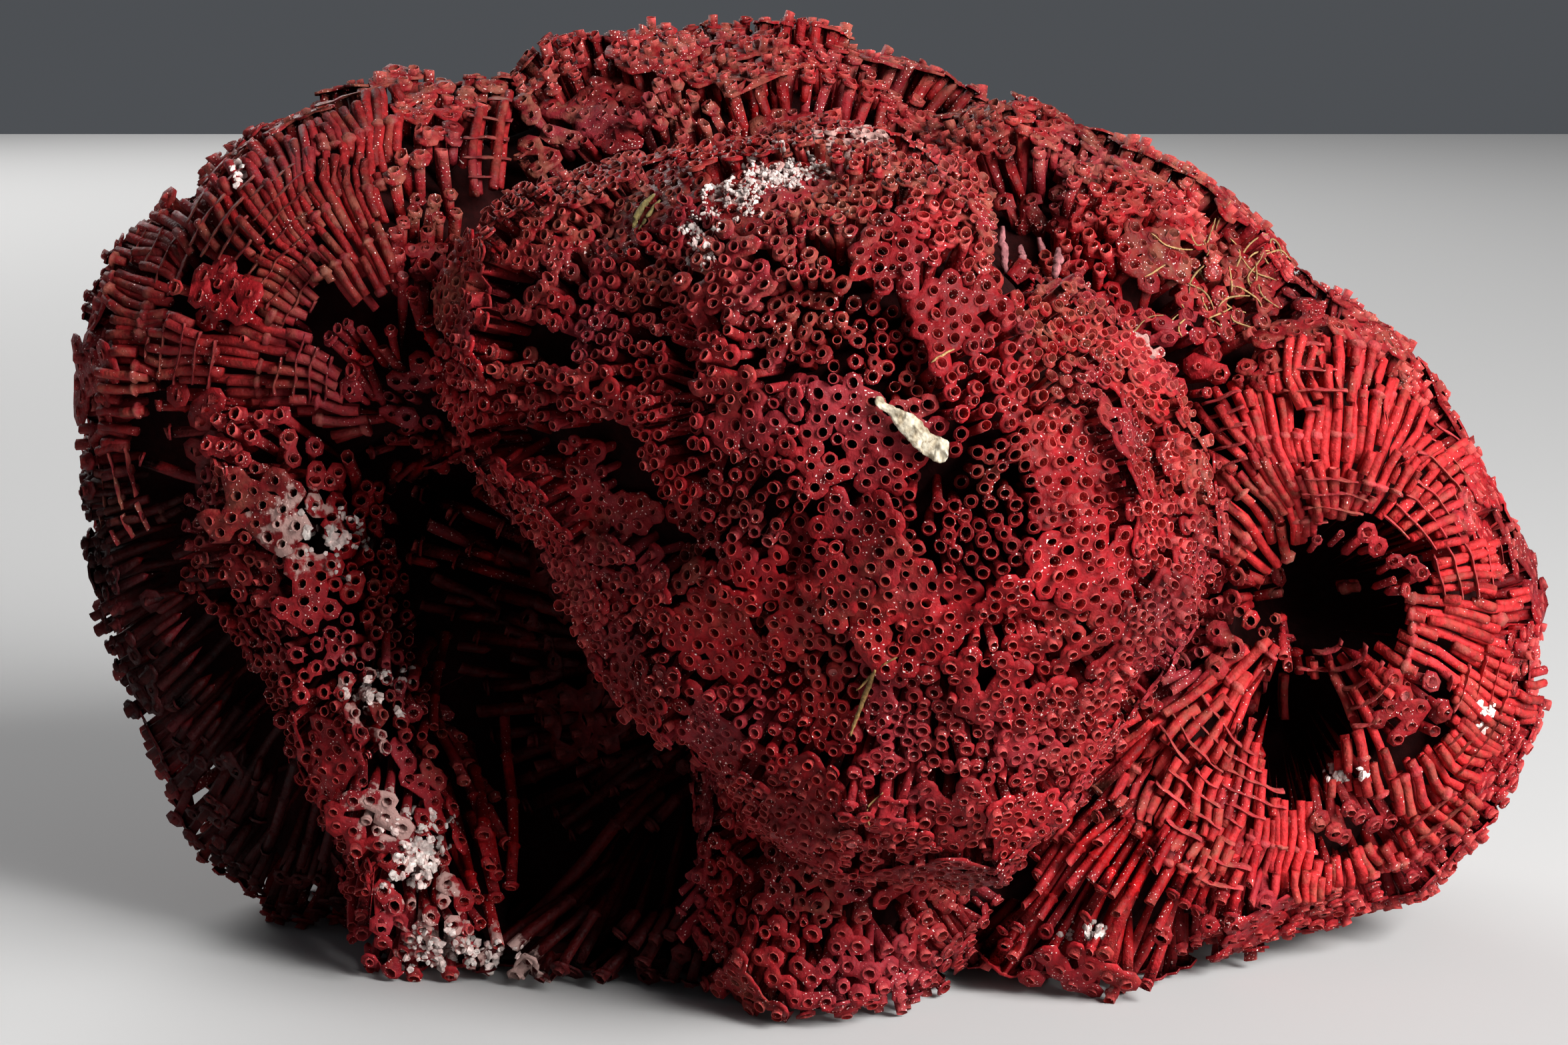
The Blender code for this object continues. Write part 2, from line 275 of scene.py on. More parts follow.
def reshaped(corners, faces, changes):
    """A new mesh of the solids after modifiers, each given by its type and settings."""
    mesh = bpy.data.meshes.new("form")
    mesh.from_pydata([corner * MM for corner in corners], [], faces)
    form = bpy.data.objects.new("form", mesh)
    bpy.context.scene.collection.objects.link(form)
    for kind, settings in changes:
        modifier = form.modifiers.new(kind, kind)
        for key, value in settings.items():
            setattr(modifier, key, value)
    view = bpy.context.evaluated_depsgraph_get()
    made = bpy.data.meshes.new_from_object(form.evaluated_get(view))
    bpy.data.objects.remove(form)
    return made


def outer_form_tree(corners, faces):
    """The lobes melted into one skin, as a search tree."""
    changes = [voxel_skin(FORM_VOXEL), ("SMOOTH", {"iterations": FORM_SMOOTHING})]
    skin = reshaped(corners, faces, changes)
    points = [corner.co / MM for corner in skin.vertices]
    tree = BVHTree.FromPolygons(points, [list(face.vertices) for face in skin.polygons])
    bpy.data.meshes.remove(skin)
    return tree


class Form:
    """Signed distance to the coral's outer form on a grid, negative inside."""

    def __init__(self, tree, low, high):
        self.low = np.array(low) - GRID_MARGIN
        counts = np.ceil((np.array(high) + GRID_MARGIN - self.low) / GRID_STEP).astype(int) + 1
        self.counts = counts
        axes = [self.low[axis] + GRID_STEP * np.arange(counts[axis]) for axis in range(3)]
        points = np.stack(np.meshgrid(*axes, indexing="ij"), -1)
        flat = points.reshape(-1, 3)
        values = np.empty(len(flat))
        for index, point in enumerate(flat.tolist()):
            near, normal, _, gap = tree.find_nearest(point)
            values[index] = math.copysign(gap, (Vector(point) - near).dot(normal))
        for size, height, seed in RELIEF:
            values += height * smooth_noise(flat, size, seed)
        values = np.maximum(values - FORM_GROWTH, -flat[:, 2])
        self.values = values.reshape(tuple(counts))

    def distance(self, points):
        """Distance of points to the form's surface."""
        cells = (points - self.low) / GRID_STEP
        low = np.clip(np.floor(cells).astype(int), 0, self.counts - 2)
        return between_corners(self.values, low, np.clip(cells - low, 0.0, 1.0))

    def normal(self, points):
        """The way out of the form, next to points."""
        step = np.eye(3) * GRID_STEP * 0.5
        ahead = np.stack([self.distance(points + step[axis]) for axis in range(3)], -1)
        behind = np.stack([self.distance(points - step[axis]) for axis in range(3)], -1)
        return unit(ahead - behind)


def hollow_shade(points, normals):
    """Painted shade on the outer fan: darker low down, on the side that faces the viewer."""
    low = np.clip((HOLLOW_TOP - points[..., 2]) / HOLLOW_FADE, 0.0, 1.0)
    inner = np.clip(0.35 + 2.2 * (normals @ TO_VIEWER), 0.0, 1.0)
    return 1.0 - (1.0 - HOLLOW_SHADE_TONE) * low * inner


# Growth of the pipes

def ray_spans(form, root, directions, reach):
    """Stretches of each ray that lie in the coral: ray number, entry and exit radius."""
    radii = np.arange(0.0, reach, RAY_STEP)
    found = []
    for first in range(0, len(directions), RAYS_AT_ONCE):
        rays = directions[first:first + RAYS_AT_ONCE]
        points = root + rays[:, None, :] * radii[None, :, None]
        gap = form.distance(points)
        inside = gap < 0.0
        leaves = inside[:, :-1] & ~inside[:, 1:]
        ray, step = np.nonzero(leaves)
        share = gap[ray, step] / (gap[ray, step] - gap[ray, step + 1])
        exit_radius = radii[step] + share * RAY_STEP
        outside = np.where(~inside, np.arange(len(radii))[None, :], -1)
        last_outside = np.maximum.accumulate(outside, axis=1)[ray, step]
        entry_radius = np.where(last_outside < 0, 0.0, (last_outside + 0.5) * RAY_STEP)
        found.append(np.stack([ray + first, entry_radius, exit_radius], -1))
    return np.concatenate(found)


def search_tree(points):
    """A search tree over points, numbered in their order."""
    tree = kdtree.KDTree(len(points))
    for index, point in enumerate(points):
        tree.insert(point, index)
    tree.balance()
    return tree


def mark_near(tree, points, chosen, radius, mark):
    """Mark every tree point within a radius of the chosen points."""
    for index in chosen:
        for _, other, _ in tree.find_range(points[index], radius[index]):
            mark[other] = True


def take_apart(tree, points, order, radius, free, taken):
    """Take free points in turn, each time closing those within its radius."""
    for index in order:
        if free[index]:
            taken[index] = True
            for _, other, _ in tree.find_range(points[index], radius[index]):
                free[other] = False


def grow(form, lobe, belongs, draw):
    """Directions, birth radii and exit radii of a lobe's pipes, evenly apart at every radius."""
    tries = lobe.tries
    directions = unit(draw.normal(size=(tries, 3)))
    spans = ray_spans(form, lobe.root, directions, GROWTH_REACH)
    ray = spans[:, 0].astype(int)
    entry, leave = spans[:, 1], spans[:, 2]
    tips = lobe.root + directions[ray] * leave[:, None]
    keep = (leave - entry > SHORTEST_PIPE) & belongs(tips)
    ray, entry, leave, tips = ray[keep], entry[keep], leave[keep], tips[keep]
    aim = directions[ray]
    normal = form.normal(tips)
    facing = normal @ TO_VIEWER > SEEN_FACING
    pitch = np.where(facing, lobe.pitch, lobe.back_pitch)
    square = np.abs(np.einsum("ij,ij->i", aim, normal))
    pitch = pitch * np.where(square < GRAZING, GRAZING_PITCH, 1.0)
    pitch = np.where(tips[:, 2] < BOTTOM_HEIGHT, BOTTOM_PITCH, pitch)
    tree = search_tree(aim)
    taken = np.zeros(len(aim), bool)
    birth = np.zeros(len(aim))
    level = FIRST_SHELL
    order = draw.permutation(len(aim)).tolist()

    def settle(radius, standing, free):
        """Take the free pipes that keep apart at a radius, and return which are new."""
        spacing = np.minimum(pitch / radius, 1.0)
        blocked = np.zeros(len(aim), bool)
        mark_near(tree, aim, np.nonzero(standing)[0], spacing, blocked)
        before = taken.copy()
        take_apart(tree, aim, order, spacing, free & ~blocked, taken)
        return taken & ~before

    while len(aim) and level < leave.max():
        following = level * SHELL_GROWTH
        free = ~taken & (leave > level + SHORTEST_PIPE) & (entry < following)
        new = settle(level, taken & (leave > level), free)
        birth[new] = np.maximum(level, entry[new])
        level = following

    # Young pipes fill the room that is left at the surface
    new = settle(np.maximum(leave - 2.0, 2.0), taken, ~taken)
    birth[new] = np.maximum(leave[new] - YOUNG_LENGTH, entry[new])
    chosen = np.nonzero(taken)[0]
    return {
        "aim": aim[chosen],
        "birth": birth[chosen],
        "entry": entry[chosen],
        "leave": leave[chosen],
        "tip": tips[chosen],
        "normal": normal[chosen],
        "facing": facing[chosen],
    }


def patch_numbers(points, size, draw):
    """Each pipe's patch and its distance from the patch's border, and how many patches there are."""
    order = draw.permutation(len(points))
    tree = search_tree(points)
    covered = np.zeros(len(points), bool)
    centres = []
    for index in order:
        if covered[index]:
            continue
        centres.append(index)
        for _, other, _ in tree.find_range(points[index], size * draw.uniform(0.55, 1.25)):
            covered[other] = True
    centre_tree = search_tree(points[centres])
    number = np.zeros(len(points), int)
    border = np.zeros(len(points))
    for index, point in enumerate(points):
        found = centre_tree.find_n(point, 2)
        number[index] = found[0][1]
        border[index] = found[-1][2] - found[0][2] if len(found) > 1 else size
    return number, border, len(centres)


def patch_planes(tips, normal, patch, patches):
    """The middle and the mean normal of every patch."""
    size = np.maximum(np.bincount(patch, minlength=patches), 1)[:, None]
    middle = np.stack([np.bincount(patch, tips[:, axis], patches) for axis in range(3)], -1) / size
    facing = np.stack([np.bincount(patch, normal[:, axis], patches) for axis in range(3)], -1)
    return middle, unit(facing)


def rim_shape(pipes, angles):
    """How far each pipe's section departs from a circle, by angle."""
    return 1.0 + pipes["oval"] * np.cos(2.0 * angles - pipes["oval_turn"])


class Sheet:
    """Cross plates of many patches: faces over the pipes' own rings and over edge points.

    A corner is numbered pipe * sides + step on a pipe's ring, or -1 - n for edge point n.
    """

    def __init__(self, count):
        self.places, self.owners, self.triangles, self.quads = [], [], [], []
        self.used = 0
        self.edged = np.zeros(count, bool)

    def add_edge_points(self, places, owners):
        """Keep new edge points with the pipes that they belong to, and return their numbers."""
        numbers = -1 - (self.used + np.arange(len(places)))
        self.places.append(places)
        self.owners.append(owners)
        self.used += len(places)
        return numbers


def sheet_triangles(flat, middle, own, reach):
    """Triangles between a sheet's points that lie within a pipe's reach and outside its bore."""
    corners = [Vector(point) for point in flat.tolist()]
    found = geometry.delaunay_2d_cdt(corners, [], [], 0, 1e-5)
    source = np.array([names[0] for names in found[3]])
    triangles = source[np.array(found[2])]
    centroid = flat[triangles].mean(1)
    apart = np.linalg.norm(centroid[:, None] - middle, axis=-1)
    return triangles[(apart < reach).any(1) & ~(apart < own * 0.93).any(1)]


def free_rim(triangles, corners, on_rings, sides):
    """Edges with a triangle on one side only, apart from those round a pipe's own ring."""
    edges = triangles[:, [0, 1, 1, 2, 2, 0]].reshape(-1, 2)
    code = edges[:, 0] * corners + edges[:, 1]
    back = edges[:, 1] * corners + edges[:, 0]
    rim = edges[~np.isin(code, back)]
    same_ring = (rim < on_rings).all(1) & (rim[:, 0] // sides == rim[:, 1] // sides)
    return rim[~same_ring]


def grow_sheets(pipes, chosen, angles, draw):
    """Cross plates: the pipes of a patch stand in one sheet with rounded, lobed edges."""
    sides = len(angles)
    sheet = Sheet(len(pipes["patch"]))
    order = chosen[np.argsort(pipes["patch"][chosen], kind="stable")]
    breaks = np.nonzero(np.diff(pipes["patch"][order]))[0] + 1
    shape = rim_shape(pipes, angles)
    circle = np.stack([np.cos(angles), np.sin(angles)], -1)
    half_step = angles + math.pi / sides
    edge_circle = np.stack([np.cos(half_step), np.sin(half_step)], -1)
    for group in np.split(order, breaks):
        group = group[pipes["reach"][group] > pipes["outer"][group] * BARE_REACH]
        if not len(group):
            continue
        own_numbers = np.arange(len(group))
        plane = np.stack([pipes["plate_across"][group[0]], pipes["plate_along"][group[0]]], -1)
        normal = pipes["plate_normal"][group[0]]
        middle = (pipes["centre"][group] - pipes["centre"][group[0]]) @ plane
        own, reach = pipes["outer"][group], pipes["reach"][group]
        ring = (own[:, None] * shape[group])[..., None] * circle
        wave = reach[:, None] * draw.uniform(0.92, 1.1, (len(group), sides))
        edge = wave[..., None] * edge_circle
        away = np.linalg.norm((middle[:, None] + edge)[:, :, None] - middle, axis=-1)
        away[own_numbers, :, own_numbers] = np.inf
        free = (away > reach * 0.97).all(-1)
        pipe, step = np.nonzero(free)
        edge_spots = middle[pipe] + edge[pipe, step]
        flat = np.concatenate([(middle[:, None] + ring).reshape(-1, 2), edge_spots])
        offset = np.concatenate([ring.reshape(-1, 2), edge[pipe, step]])
        owner = group[np.concatenate([np.repeat(own_numbers, sides), pipe])]
        places = pipes["centre"][owner] + offset @ plane.T
        lift = ripple(places) - ripple(pipes["centre"][owner]) + pipes["curl"][owner, 0]
        on_rings = len(group) * sides
        lift[:on_rings] = 0.0
        places = places + lift[:, None] * normal
        on_edge = sheet.add_edge_points(places[on_rings:], owner[on_rings:])
        numbers = np.concatenate([(group[:, None] * sides + np.arange(sides)).reshape(-1), on_edge])
        triangles = sheet_triangles(flat, middle, own, reach)
        if not len(triangles):
            continue
        sheet.triangles.append(numbers[triangles])

        # Free edges of the sheet turn down by the plate's thickness
        rim = free_rim(triangles, len(flat), on_rings, sides)
        used, place_of = np.unique(rim, return_inverse=True)
        place_of = place_of.reshape(rim.shape)
        below = sheet.add_edge_points(places[used] - normal * PLATE_THICKNESS, owner[used])
        left, right = rim.T
        low_left, low_right = below[place_of].T
        sheet.quads.append(np.stack([numbers[left], low_left, low_right, numbers[right]], -1))
        sheet.edged[owner[used]] = True
    sheet.edged |= pipes["reach"] <= pipes["outer"] * BARE_REACH
    return sheet


# Meshes

SHARPEST_BEND = math.radians(125.0)


class Batch:
    """Rings of many pipes with the same number of sides, and the plates between them."""

    def __init__(self, sides, count):
        self.sides = sides
        self.points, self.colours, self.masks = [], [], []
        self.quads, self.fans, self.ends = [], [], []
        self.plate_ring = np.full(count, -1)
        self.used = 0

    def add(self, rings, apex, colours, masks, numbers, plate_step, closed):
        """Rings from the bore's floor to the apex. One of the rings carries the plate."""
        count, profile, sides = rings.shape[:3]
        per_pipe = profile * sides + closed
        block = np.concatenate([rings.reshape(count, -1, 3), apex[:, None, :]], 1)
        block, colours, masks = (values[:, :per_pipe] for values in (block, colours, masks))
        self.points.append(block.reshape(-1, 3))
        self.colours.append(colours.reshape(-1, 3))
        self.masks.append(masks.reshape(-1, 3))
        starts = self.used + np.arange(count) * per_pipe
        self.plate_ring[numbers] = starts + plate_step * sides
        row = np.arange(sides)
        after = (row + 1) % sides
        step = np.arange(profile - 1)[:, None] * sides
        quad = np.stack([step + row, step + sides + row, step + sides + after, step + after], -1)
        self.quads.append((starts[:, None, None] + quad.reshape(-1, 4)).reshape(-1, 4))
        last = (profile - 1) * sides
        if closed:
            fan = np.stack([last + row, np.full(sides, profile * sides), last + after], -1)
            self.fans.append((starts[:, None, None] + fan).reshape(-1, 3))
        self.ends.append((starts[:, None] + row[None, :]).reshape(-1, sides))
        self.used += count * per_pipe

    def add_sheet(self, sheet, pipes):
        """Add the plates that were grown between the pipes."""
        if not sheet.used:
            return
        places, owners = np.concatenate(sheet.places), np.concatenate(sheet.owners)
        colours, masks = sheet_colours(pipes, owners)
        self.points.append(warp(places))
        self.colours.append(colours)
        self.masks.append(masks)

        def corners(numbers):
            """Where this mesh keeps the pipes' plate points and, below zero, the edge points."""
            pipe, step = np.divmod(np.maximum(numbers, 0), self.sides)
            return np.where(numbers < 0, self.used - 1 - numbers, self.plate_ring[pipe] + step)

        self.fans.append(corners(np.concatenate(sheet.triangles)))
        self.quads.append(corners(np.concatenate(sheet.quads)))
        self.used += len(places)


def mesh_of(name, batches):
    """One mesh object of several batches."""
    points, colours, masks, loops, totals = [], [], [], [], []
    used = 0
    for batch in batches:
        if not batch.used:
            continue
        points += batch.points
        colours += batch.colours
        masks += batch.masks
        for kind in (batch.quads, batch.fans, batch.ends):
            faces = np.concatenate(kind)
            loops.append((faces + used).reshape(-1))
            totals.append(np.full(len(faces), faces.shape[1]))
        used += batch.used
    return mesh_object(name, points, loops, totals, colours, masks)


def mesh_object(name, points, loops, totals, colours, masks):
    """An object from lists of arrays: points, corners of the faces, corners in each face, colours."""
    points, loops, totals = (np.concatenate(parts) for parts in (points, loops, totals))
    mesh = bpy.data.meshes.new(name)
    mesh.vertices.add(len(points))
    mesh.vertices.foreach_set("co", (points * MM).astype(np.float32).reshape(-1))
    mesh.loops.add(len(loops))
    mesh.loops.foreach_set("vertex_index", loops.astype(np.int32))
    mesh.polygons.add(len(totals))
    starts = np.concatenate([[0], np.cumsum(totals)[:-1]])
    mesh.polygons.foreach_set("loop_start", starts.astype(np.int32))
    mesh.polygons.foreach_set("use_smooth", np.ones(len(totals), bool))
    mesh.update(calc_edges=True)
    for title, parts in (("tint", colours), ("masks", masks)):
        layer = mesh.color_attributes.new(title, "FLOAT_COLOR", "POINT")
        rgba = np.concatenate([np.concatenate(parts), np.ones((len(points), 1))], 1)
        layer.data.foreach_set("color", rgba.astype(np.float32).reshape(-1))
    mesh.set_sharp_from_angle(angle=SHARPEST_BEND)
    thing = bpy.data.objects.new(name, mesh)
    bpy.context.scene.collection.objects.link(thing)
    return thing


class Tubes:
    """Closed tubes over rings of points, gathered into one mesh."""

    def __init__(self):
        self.points, self.loops, self.totals, self.colours, self.masks = [], [], [], [], []
        self.used = 0

    def add(self, rings, colours, masks=0.0):
        """One tube with both ends capped. Colours and masks are spread over its points."""
        rows, sides = rings.shape[:2]
        row = np.arange(sides)
        after = (row + 1) % sides
        step = np.arange(rows - 1)[:, None] * sides
        quads = np.stack([step + row, step + after, step + sides + after, step + sides + row], -1)
        ends = np.stack([row[::-1], (rows - 1) * sides + row])
        self.loops += [self.used + quads.reshape(-1), self.used + ends.reshape(-1)]
        self.totals += [np.full(quads.size // 4, 4), np.full(2, sides)]
        self.points.append(rings.reshape(-1, 3))
        for values, kept in ((colours, self.colours), (masks, self.masks)):
            kept.append(np.broadcast_to(values, rings.shape).reshape(-1, 3))
        self.used += rows * sides

    def mesh(self, name, bent=False):
        """The tubes as one object, bent as the whole skeleton is if asked."""
        points = [warp(np.concatenate(self.points))] if bent else self.points
        return mesh_object(name, points, self.loops, self.totals, self.colours, self.masks)


def tube_object(name, rings, colours):
    """One closed tube as an object of its own."""
    tube = Tubes()
    tube.add(rings, colours)
    return tube.mesh(name)


# Colours, as linear light

WALL = np.array((0.250, 0.001, 0.002))
# Rim: the rims' own lighter colour, brightened further as a painted highlight
LIT_RIM_AND_HIGHLIGHT = np.array((0.460, 0.055, 0.050))
# Painted shade inside the open pipes: the bore dark red at the top, its floor near black
SHADED_BORE = np.array((0.180, 0.001, 0.001))
SHADED_BORE_FLOOR = np.array((0.006, 0.000, 0.000))
PLATE = np.array((0.235, 0.005, 0.008))
LID = np.array((0.330, 0.070, 0.070))
FLANK_WALL = np.array((0.250, 0.012, 0.013))
FLANK_PLATE = np.array((0.300, 0.030, 0.034))
SHADED_CORE = np.array((0.012, 0.001, 0.001))

# Black holes between the pipes: centre, half sizes and depth
HOLES = [
    ((17.4, -86, 97), (6.0, 9, 4.0), 14.0),
    ((-47, -55, 113), (10, 25, 3.4), 9.0),
    ((-34, -55, 101), (9, 25, 4.4), 10.0),
    ((-31, -58, 94), (6, 25, 8.5), 11.0),
    ((-50, -55, 97), (8, 25, 4.2), 9.0),
    ((-26, -62, 83), (8, 25, 5.0), 10.0),
    ((-52, -50, 120), (5, 22, 4.0), 9.0),
    ((-22, -78, 112), (4, 9, 12), 7.0),
    ((30, -80, 74), (8, 9, 3), 5.0),
    ((-4, -84, 84), (3, 9, 9), 5.0),
    ((31.5, -38, 127.5), (9.5, 50, 8.5), 18.0),
]

# White crusts: centre and radius
CRUSTS = [
    (-10, -48, 132, 9), (2, -42, 138, 8), (8, -38, 141, 6), (-18, -50, 126, 6),
    (-84, -24, 76, 9), (-78, -26, 68, 7), (-74, -26, 52, 6), (-70, -26, 44, 5),
    (-70, -27, 30, 7), (-64, -27, 18, 8), (-62, -27, 6, 9), (-52, -24, 4, 7),
    (-100, -10, 134, 4), (47, -26, 5, 6), (50, -46, 112, 4),
]


def crust_amount(points):
    """From 0 to 1, how much white crust covers a place."""
    amount = np.zeros(points.shape[:-1])
    for x, y, z, radius in CRUSTS:
        away = np.linalg.norm(points - np.array((x, y, z)), axis=-1)
        amount = np.maximum(amount, np.clip(1.35 - away / radius, 0.0, 1.0))
    return amount


def pipe_frames(axis):
    """Two directions across each pipe."""
    helper = np.where(np.abs(axis[:, 2:3]) < 0.8, (0.0, 0.0, 1.0), (1.0, 0.0, 0.0))
    across = unit(np.cross(axis, helper))
    return across, np.cross(axis, across)


def ripple(points):
    """Height of a plate's gentle waves above its plane."""
    return 0.45 * smooth_noise(points, 5.0, 62)


def warp(points):
    """Bend the whole skeleton gently, so that no pipe is quite straight."""
    bent = points + 1.3 * noise_vectors(points, 22.0, 40) + 0.35 * noise_vectors(points, 7.0, 50)
    bent[..., 2] = np.maximum(bent[..., 2], 0.0)
    return bent


def circle_angles(sides):
    """Angles of a circle's points, evenly apart."""
    return np.arange(sides) * math.tau / sides


def circle_points(across, along, angles):
    """Unit circles of many pipes, in the planes that across and along span."""
    side = np.cos(angles)[None, :, None] * across[:, None, :]
    return side + np.sin(angles)[None, :, None] * along[:, None, :]


def pipe_batch(pipes, numbers, collars, snug, batch):
    """Rings of the pipes that have the same number of lower cross plates.

    A snug pipe stands among its neighbours' plates, which hide its outside.
    """
    count, sides = len(pipes["aim"]), batch.sides
    angles = circle_angles(sides)
    axis = pipes["axis"]
    round_pipe = circle_points(pipes["across"], pipes["along"], angles)
    round_plate = circle_points(pipes["plate_across"], pipes["plate_along"], angles)
    outer = pipes["outer"][:, None] * rim_shape(pipes, angles)
    bore = outer * pipes["bore"][:, None]
    lidded = pipes["lid"][:, None]
    rise = pipes["rise"][:, None] + pipes["slant"] * np.cos(angles - pipes["slant_turn"])
    rise = rise - pipes["bite"] * np.clip(np.cos(angles - pipes["bite_turn"]), 0.0, 1.0) ** 2
    rise = np.maximum(rise, 0.02)
    simple = sides <= BACK_SIDES
    rings, heights = [], []

    def ring(height, radius, circle=round_pipe):
        """Add a ring of points at a height along each pipe."""
        height = np.broadcast_to(height, (count, sides))
        radius = np.broadcast_to(radius, (count, sides))
        place = pipes["centre"][:, None, :] + axis[:, None, :] * height[:, :, None]
        rings.append(place + circle * radius[:, :, None])
        heights.append(height.mean(1))

    floor = pipes["rise"][:, None] - np.where(lidded, LID_DEPTH, BORE_DEPTH)
    ring(floor, bore * np.where(lidded, 0.98, 0.72))
    if simple:
        ring(rise, (outer + bore) / 2.0)
    else:
        ring(rise - 0.05, bore)
        ring(rise, outer)
    plate_step = len(rings)
    ring(0.0, outer, round_plate)
    if not collars and not snug:
        ring(-np.minimum(pipes["length"], BARE_LENGTH)[:, None], outer * 0.9)
    side_reach = pipes["pitch"][:, None] * COLLAR_SHARE
    for number in range(collars):
        height = pipes["collars"][:, number:number + 1]
        flare = outer + (side_reach - outer) * pipes["flare"][:, number:number + 1]
        ring(height + PLATE_THICKNESS, outer * 0.97)
        ring(height, flare)
        ring(height - PLATE_THICKNESS, outer * 0.97)
    rings = np.stack(rings, 1)
    heights = np.stack(heights, 1)
    apex = pipes["centre"] - axis * pipes["apex"][:, None]
    colours, masks = ring_colours(pipes, heights, sides, simple)
    batch.add(warp(rings), warp(apex), colours, masks, numbers, plate_step, not snug)


def toned(colour, pipes):
    """A base colour varied by its patch's tone and fading."""
    colour = colour * pipes["tone"][:, None, None]
    faded = 0.12 * pipes["faded"][:, None, None]
    grey = colour.mean(-1, keepdims=True) * np.array((1.6, 0.7, 0.75))
    return colour * (1.0 - faded) + grey * faded


def ring_colours(pipes, heights, sides, simple):
    """Base colour of each ring's points, and the masks of crust, dust and painted shade."""
    count, profile = heights.shape
    lid = pipes["lid"][:, None]
    colour = np.empty((count, profile, 3))
    colour[:] = WALL
    colour[:, 0] = np.where(lid, LID, SHADED_BORE_FLOOR)
    colour[:, 1] = LIT_RIM_AND_HIGHLIGHT if simple else np.where(lid, LID * 0.9, SHADED_BORE)
    if not simple:
        colour[:, 2] = LIT_RIM_AND_HIGHLIGHT
    plate_step = 2 if simple else 3
    colour[:, plate_step] = PLATE * 0.85
    # Painted shade: rings lower down a pipe are darker, by up to 35 % at 14 mm below its top
    depth = np.clip(-heights / 14.0, 0.0, 1.0)
    depth[:, 0] = 0.0
    colour = toned(colour * (1.0 - 0.35 * depth)[:, :, None], pipes)
    mask = np.zeros((count, profile, 3))
    mask[..., 0] = crust_amount(pipes["centre"])[:, None] * np.clip(1.0 + heights / 4.0, 0.0, 1.0)
    mask[..., 1] = pipes["dust"][:, None] * np.clip(1.0 + heights / 3.0, 0.0, 1.0)
    mask[:, 0] *= pipes["lid"][:, None]
    mask[..., 2] = DIM_DULLNESS * pipes["dim"][:, None]
    # The apex, deep inside, is painted dark as shade
    end_colour = np.broadcast_to(WALL * 0.3, (count, 1, 3))
    end_mask = np.zeros((count, 1, 3))
    return (
        np.concatenate([np.repeat(colour, sides, 1), end_colour], 1),
        np.concatenate([np.repeat(mask, sides, 1), end_mask], 1),
    )


def sheet_colours(pipes, owners):
    """Base colour and masks of the plates' edge points."""
    here = select(pipes, owners)
    colour = np.broadcast_to(PLATE, (len(owners), 1, 3))
    masks = np.zeros((len(owners), 3))
    masks[:, 0] = crust_amount(here["centre"])
    masks[:, 1] = here["dust"]
    masks[:, 2] = DIM_DULLNESS * here["dim"]
    return toned(colour, here)[:, 0], masks


# Pipes that lie along the faces of the lobes

def front_surface(form, side, rise):
    """How far back the coral's surface lies behind points of the front view."""
    depths = FRONT_OF_ALL + FRONT_DEPTHS
    points = np.stack(np.broadcast_arrays(side[..., None], depths, rise[..., None]), -1)
    gap = form.distance(points)
    inside = gap < 0.0
    first = np.maximum(inside.argmax(-1), 1)
    ahead = np.take_along_axis(gap, first[..., None] - 1, -1)[..., 0]
    behind = np.take_along_axis(gap, first[..., None], -1)[..., 0]
    depth = depths[first] - 1.0 + ahead / np.maximum(ahead - behind, 1e-6)
    return np.where(inside.any(-1), depth, np.nan)


def flank_points(form, flank, owner_of, side, rise):
    """Points of the coral behind a route over the front view, and which the flank covers."""
    depth = front_surface(form, side, rise)
    known = np.isfinite(depth)
    points = np.stack([side, np.where(known, depth, 0.0), rise], -1)
    held = known & (rise > FLANK_BOTTOM) & flank.holds(points, form.normal(points))
    held &= owner_of(points) == flank.lobe
    held &= np.abs(np.diff(points[:, 1], prepend=points[0, 1])) < STEEPEST_STEP
    return points, held


def unbroken(joined):
    """Runs of neighbours that are joined, as arrays of their numbers."""
    return np.split(np.arange(len(joined) + 1), np.nonzero(~joined)[0] + 1)


def flank_turns(flank, draw):
    """The angle and first radius of each pipe: new ones come in where old ones part."""
    first = flank.reach[0]
    count = int((flank.turns[1] - flank.turns[0]) * first / FLANK_PITCH)
    turns = list(np.linspace(*flank.turns, count) + draw.normal(0.0, 0.02, count))
    births = [first] * count
    radius = first
    while radius < flank.reach[1]:
        radius *= FLANK_GROWTH
        order = np.argsort(turns)
        for here, after in zip(order[:-1], order[1:]):
            if (turns[after] - turns[here]) * radius > FLANK_PITCH * 1.75:
                turns.append(turns[here] + (turns[after] - turns[here]) * draw.uniform(0.42, 0.58))
                births.append(radius)
    return np.array(turns), np.array(births)


def flank_runs(form, flank, owner_of, draw):
    """Routes of the pipes over a face: points, radii from the middle, and patch, or -1 below."""
    runs = []
    radii = np.arange(flank.reach[0] - 2.0, flank.reach[1], FLANK_STEP)
    for under in (False, True):
        for turn, birth in zip(*flank_turns(flank, draw)):
            side = flank.middle[0] + radii * math.cos(turn)
            rise = flank.middle[1] + radii * math.sin(turn)
            flat = np.stack([side, rise * 0.0, rise], -1)
            bend = turn + 0.16 * smooth_noise(flat, 24.0, 301) + 0.035 * smooth_noise(flat, 6.0, 303)
            side = flank.middle[0] + radii * np.cos(bend)
            rise = flank.middle[1] + radii * np.sin(bend)
            points, kept = flank_points(form, flank, owner_of, side, rise)
            patch = flank.patch(side + draw.normal(0.0, 0.9), rise + draw.normal(0.0, 0.9))
            kept &= (radii >= birth) & (flank.kind[patch] != MOUTHS)
            if under:
                patch = np.full(len(radii), -1)
            for part in unbroken(kept[1:] & kept[:-1] & (patch[1:] == patch[:-1])):
                if kept[part[0]] and len(part) >= 3 and draw.random() > 0.05:
                    early = int(draw.random() < 0.3 and len(part) > 5) * draw.integers(1, 3)
                    part = part[:len(part) - early]
                    runs.append((points[part], radii[part], patch[part[0]]))
    return runs


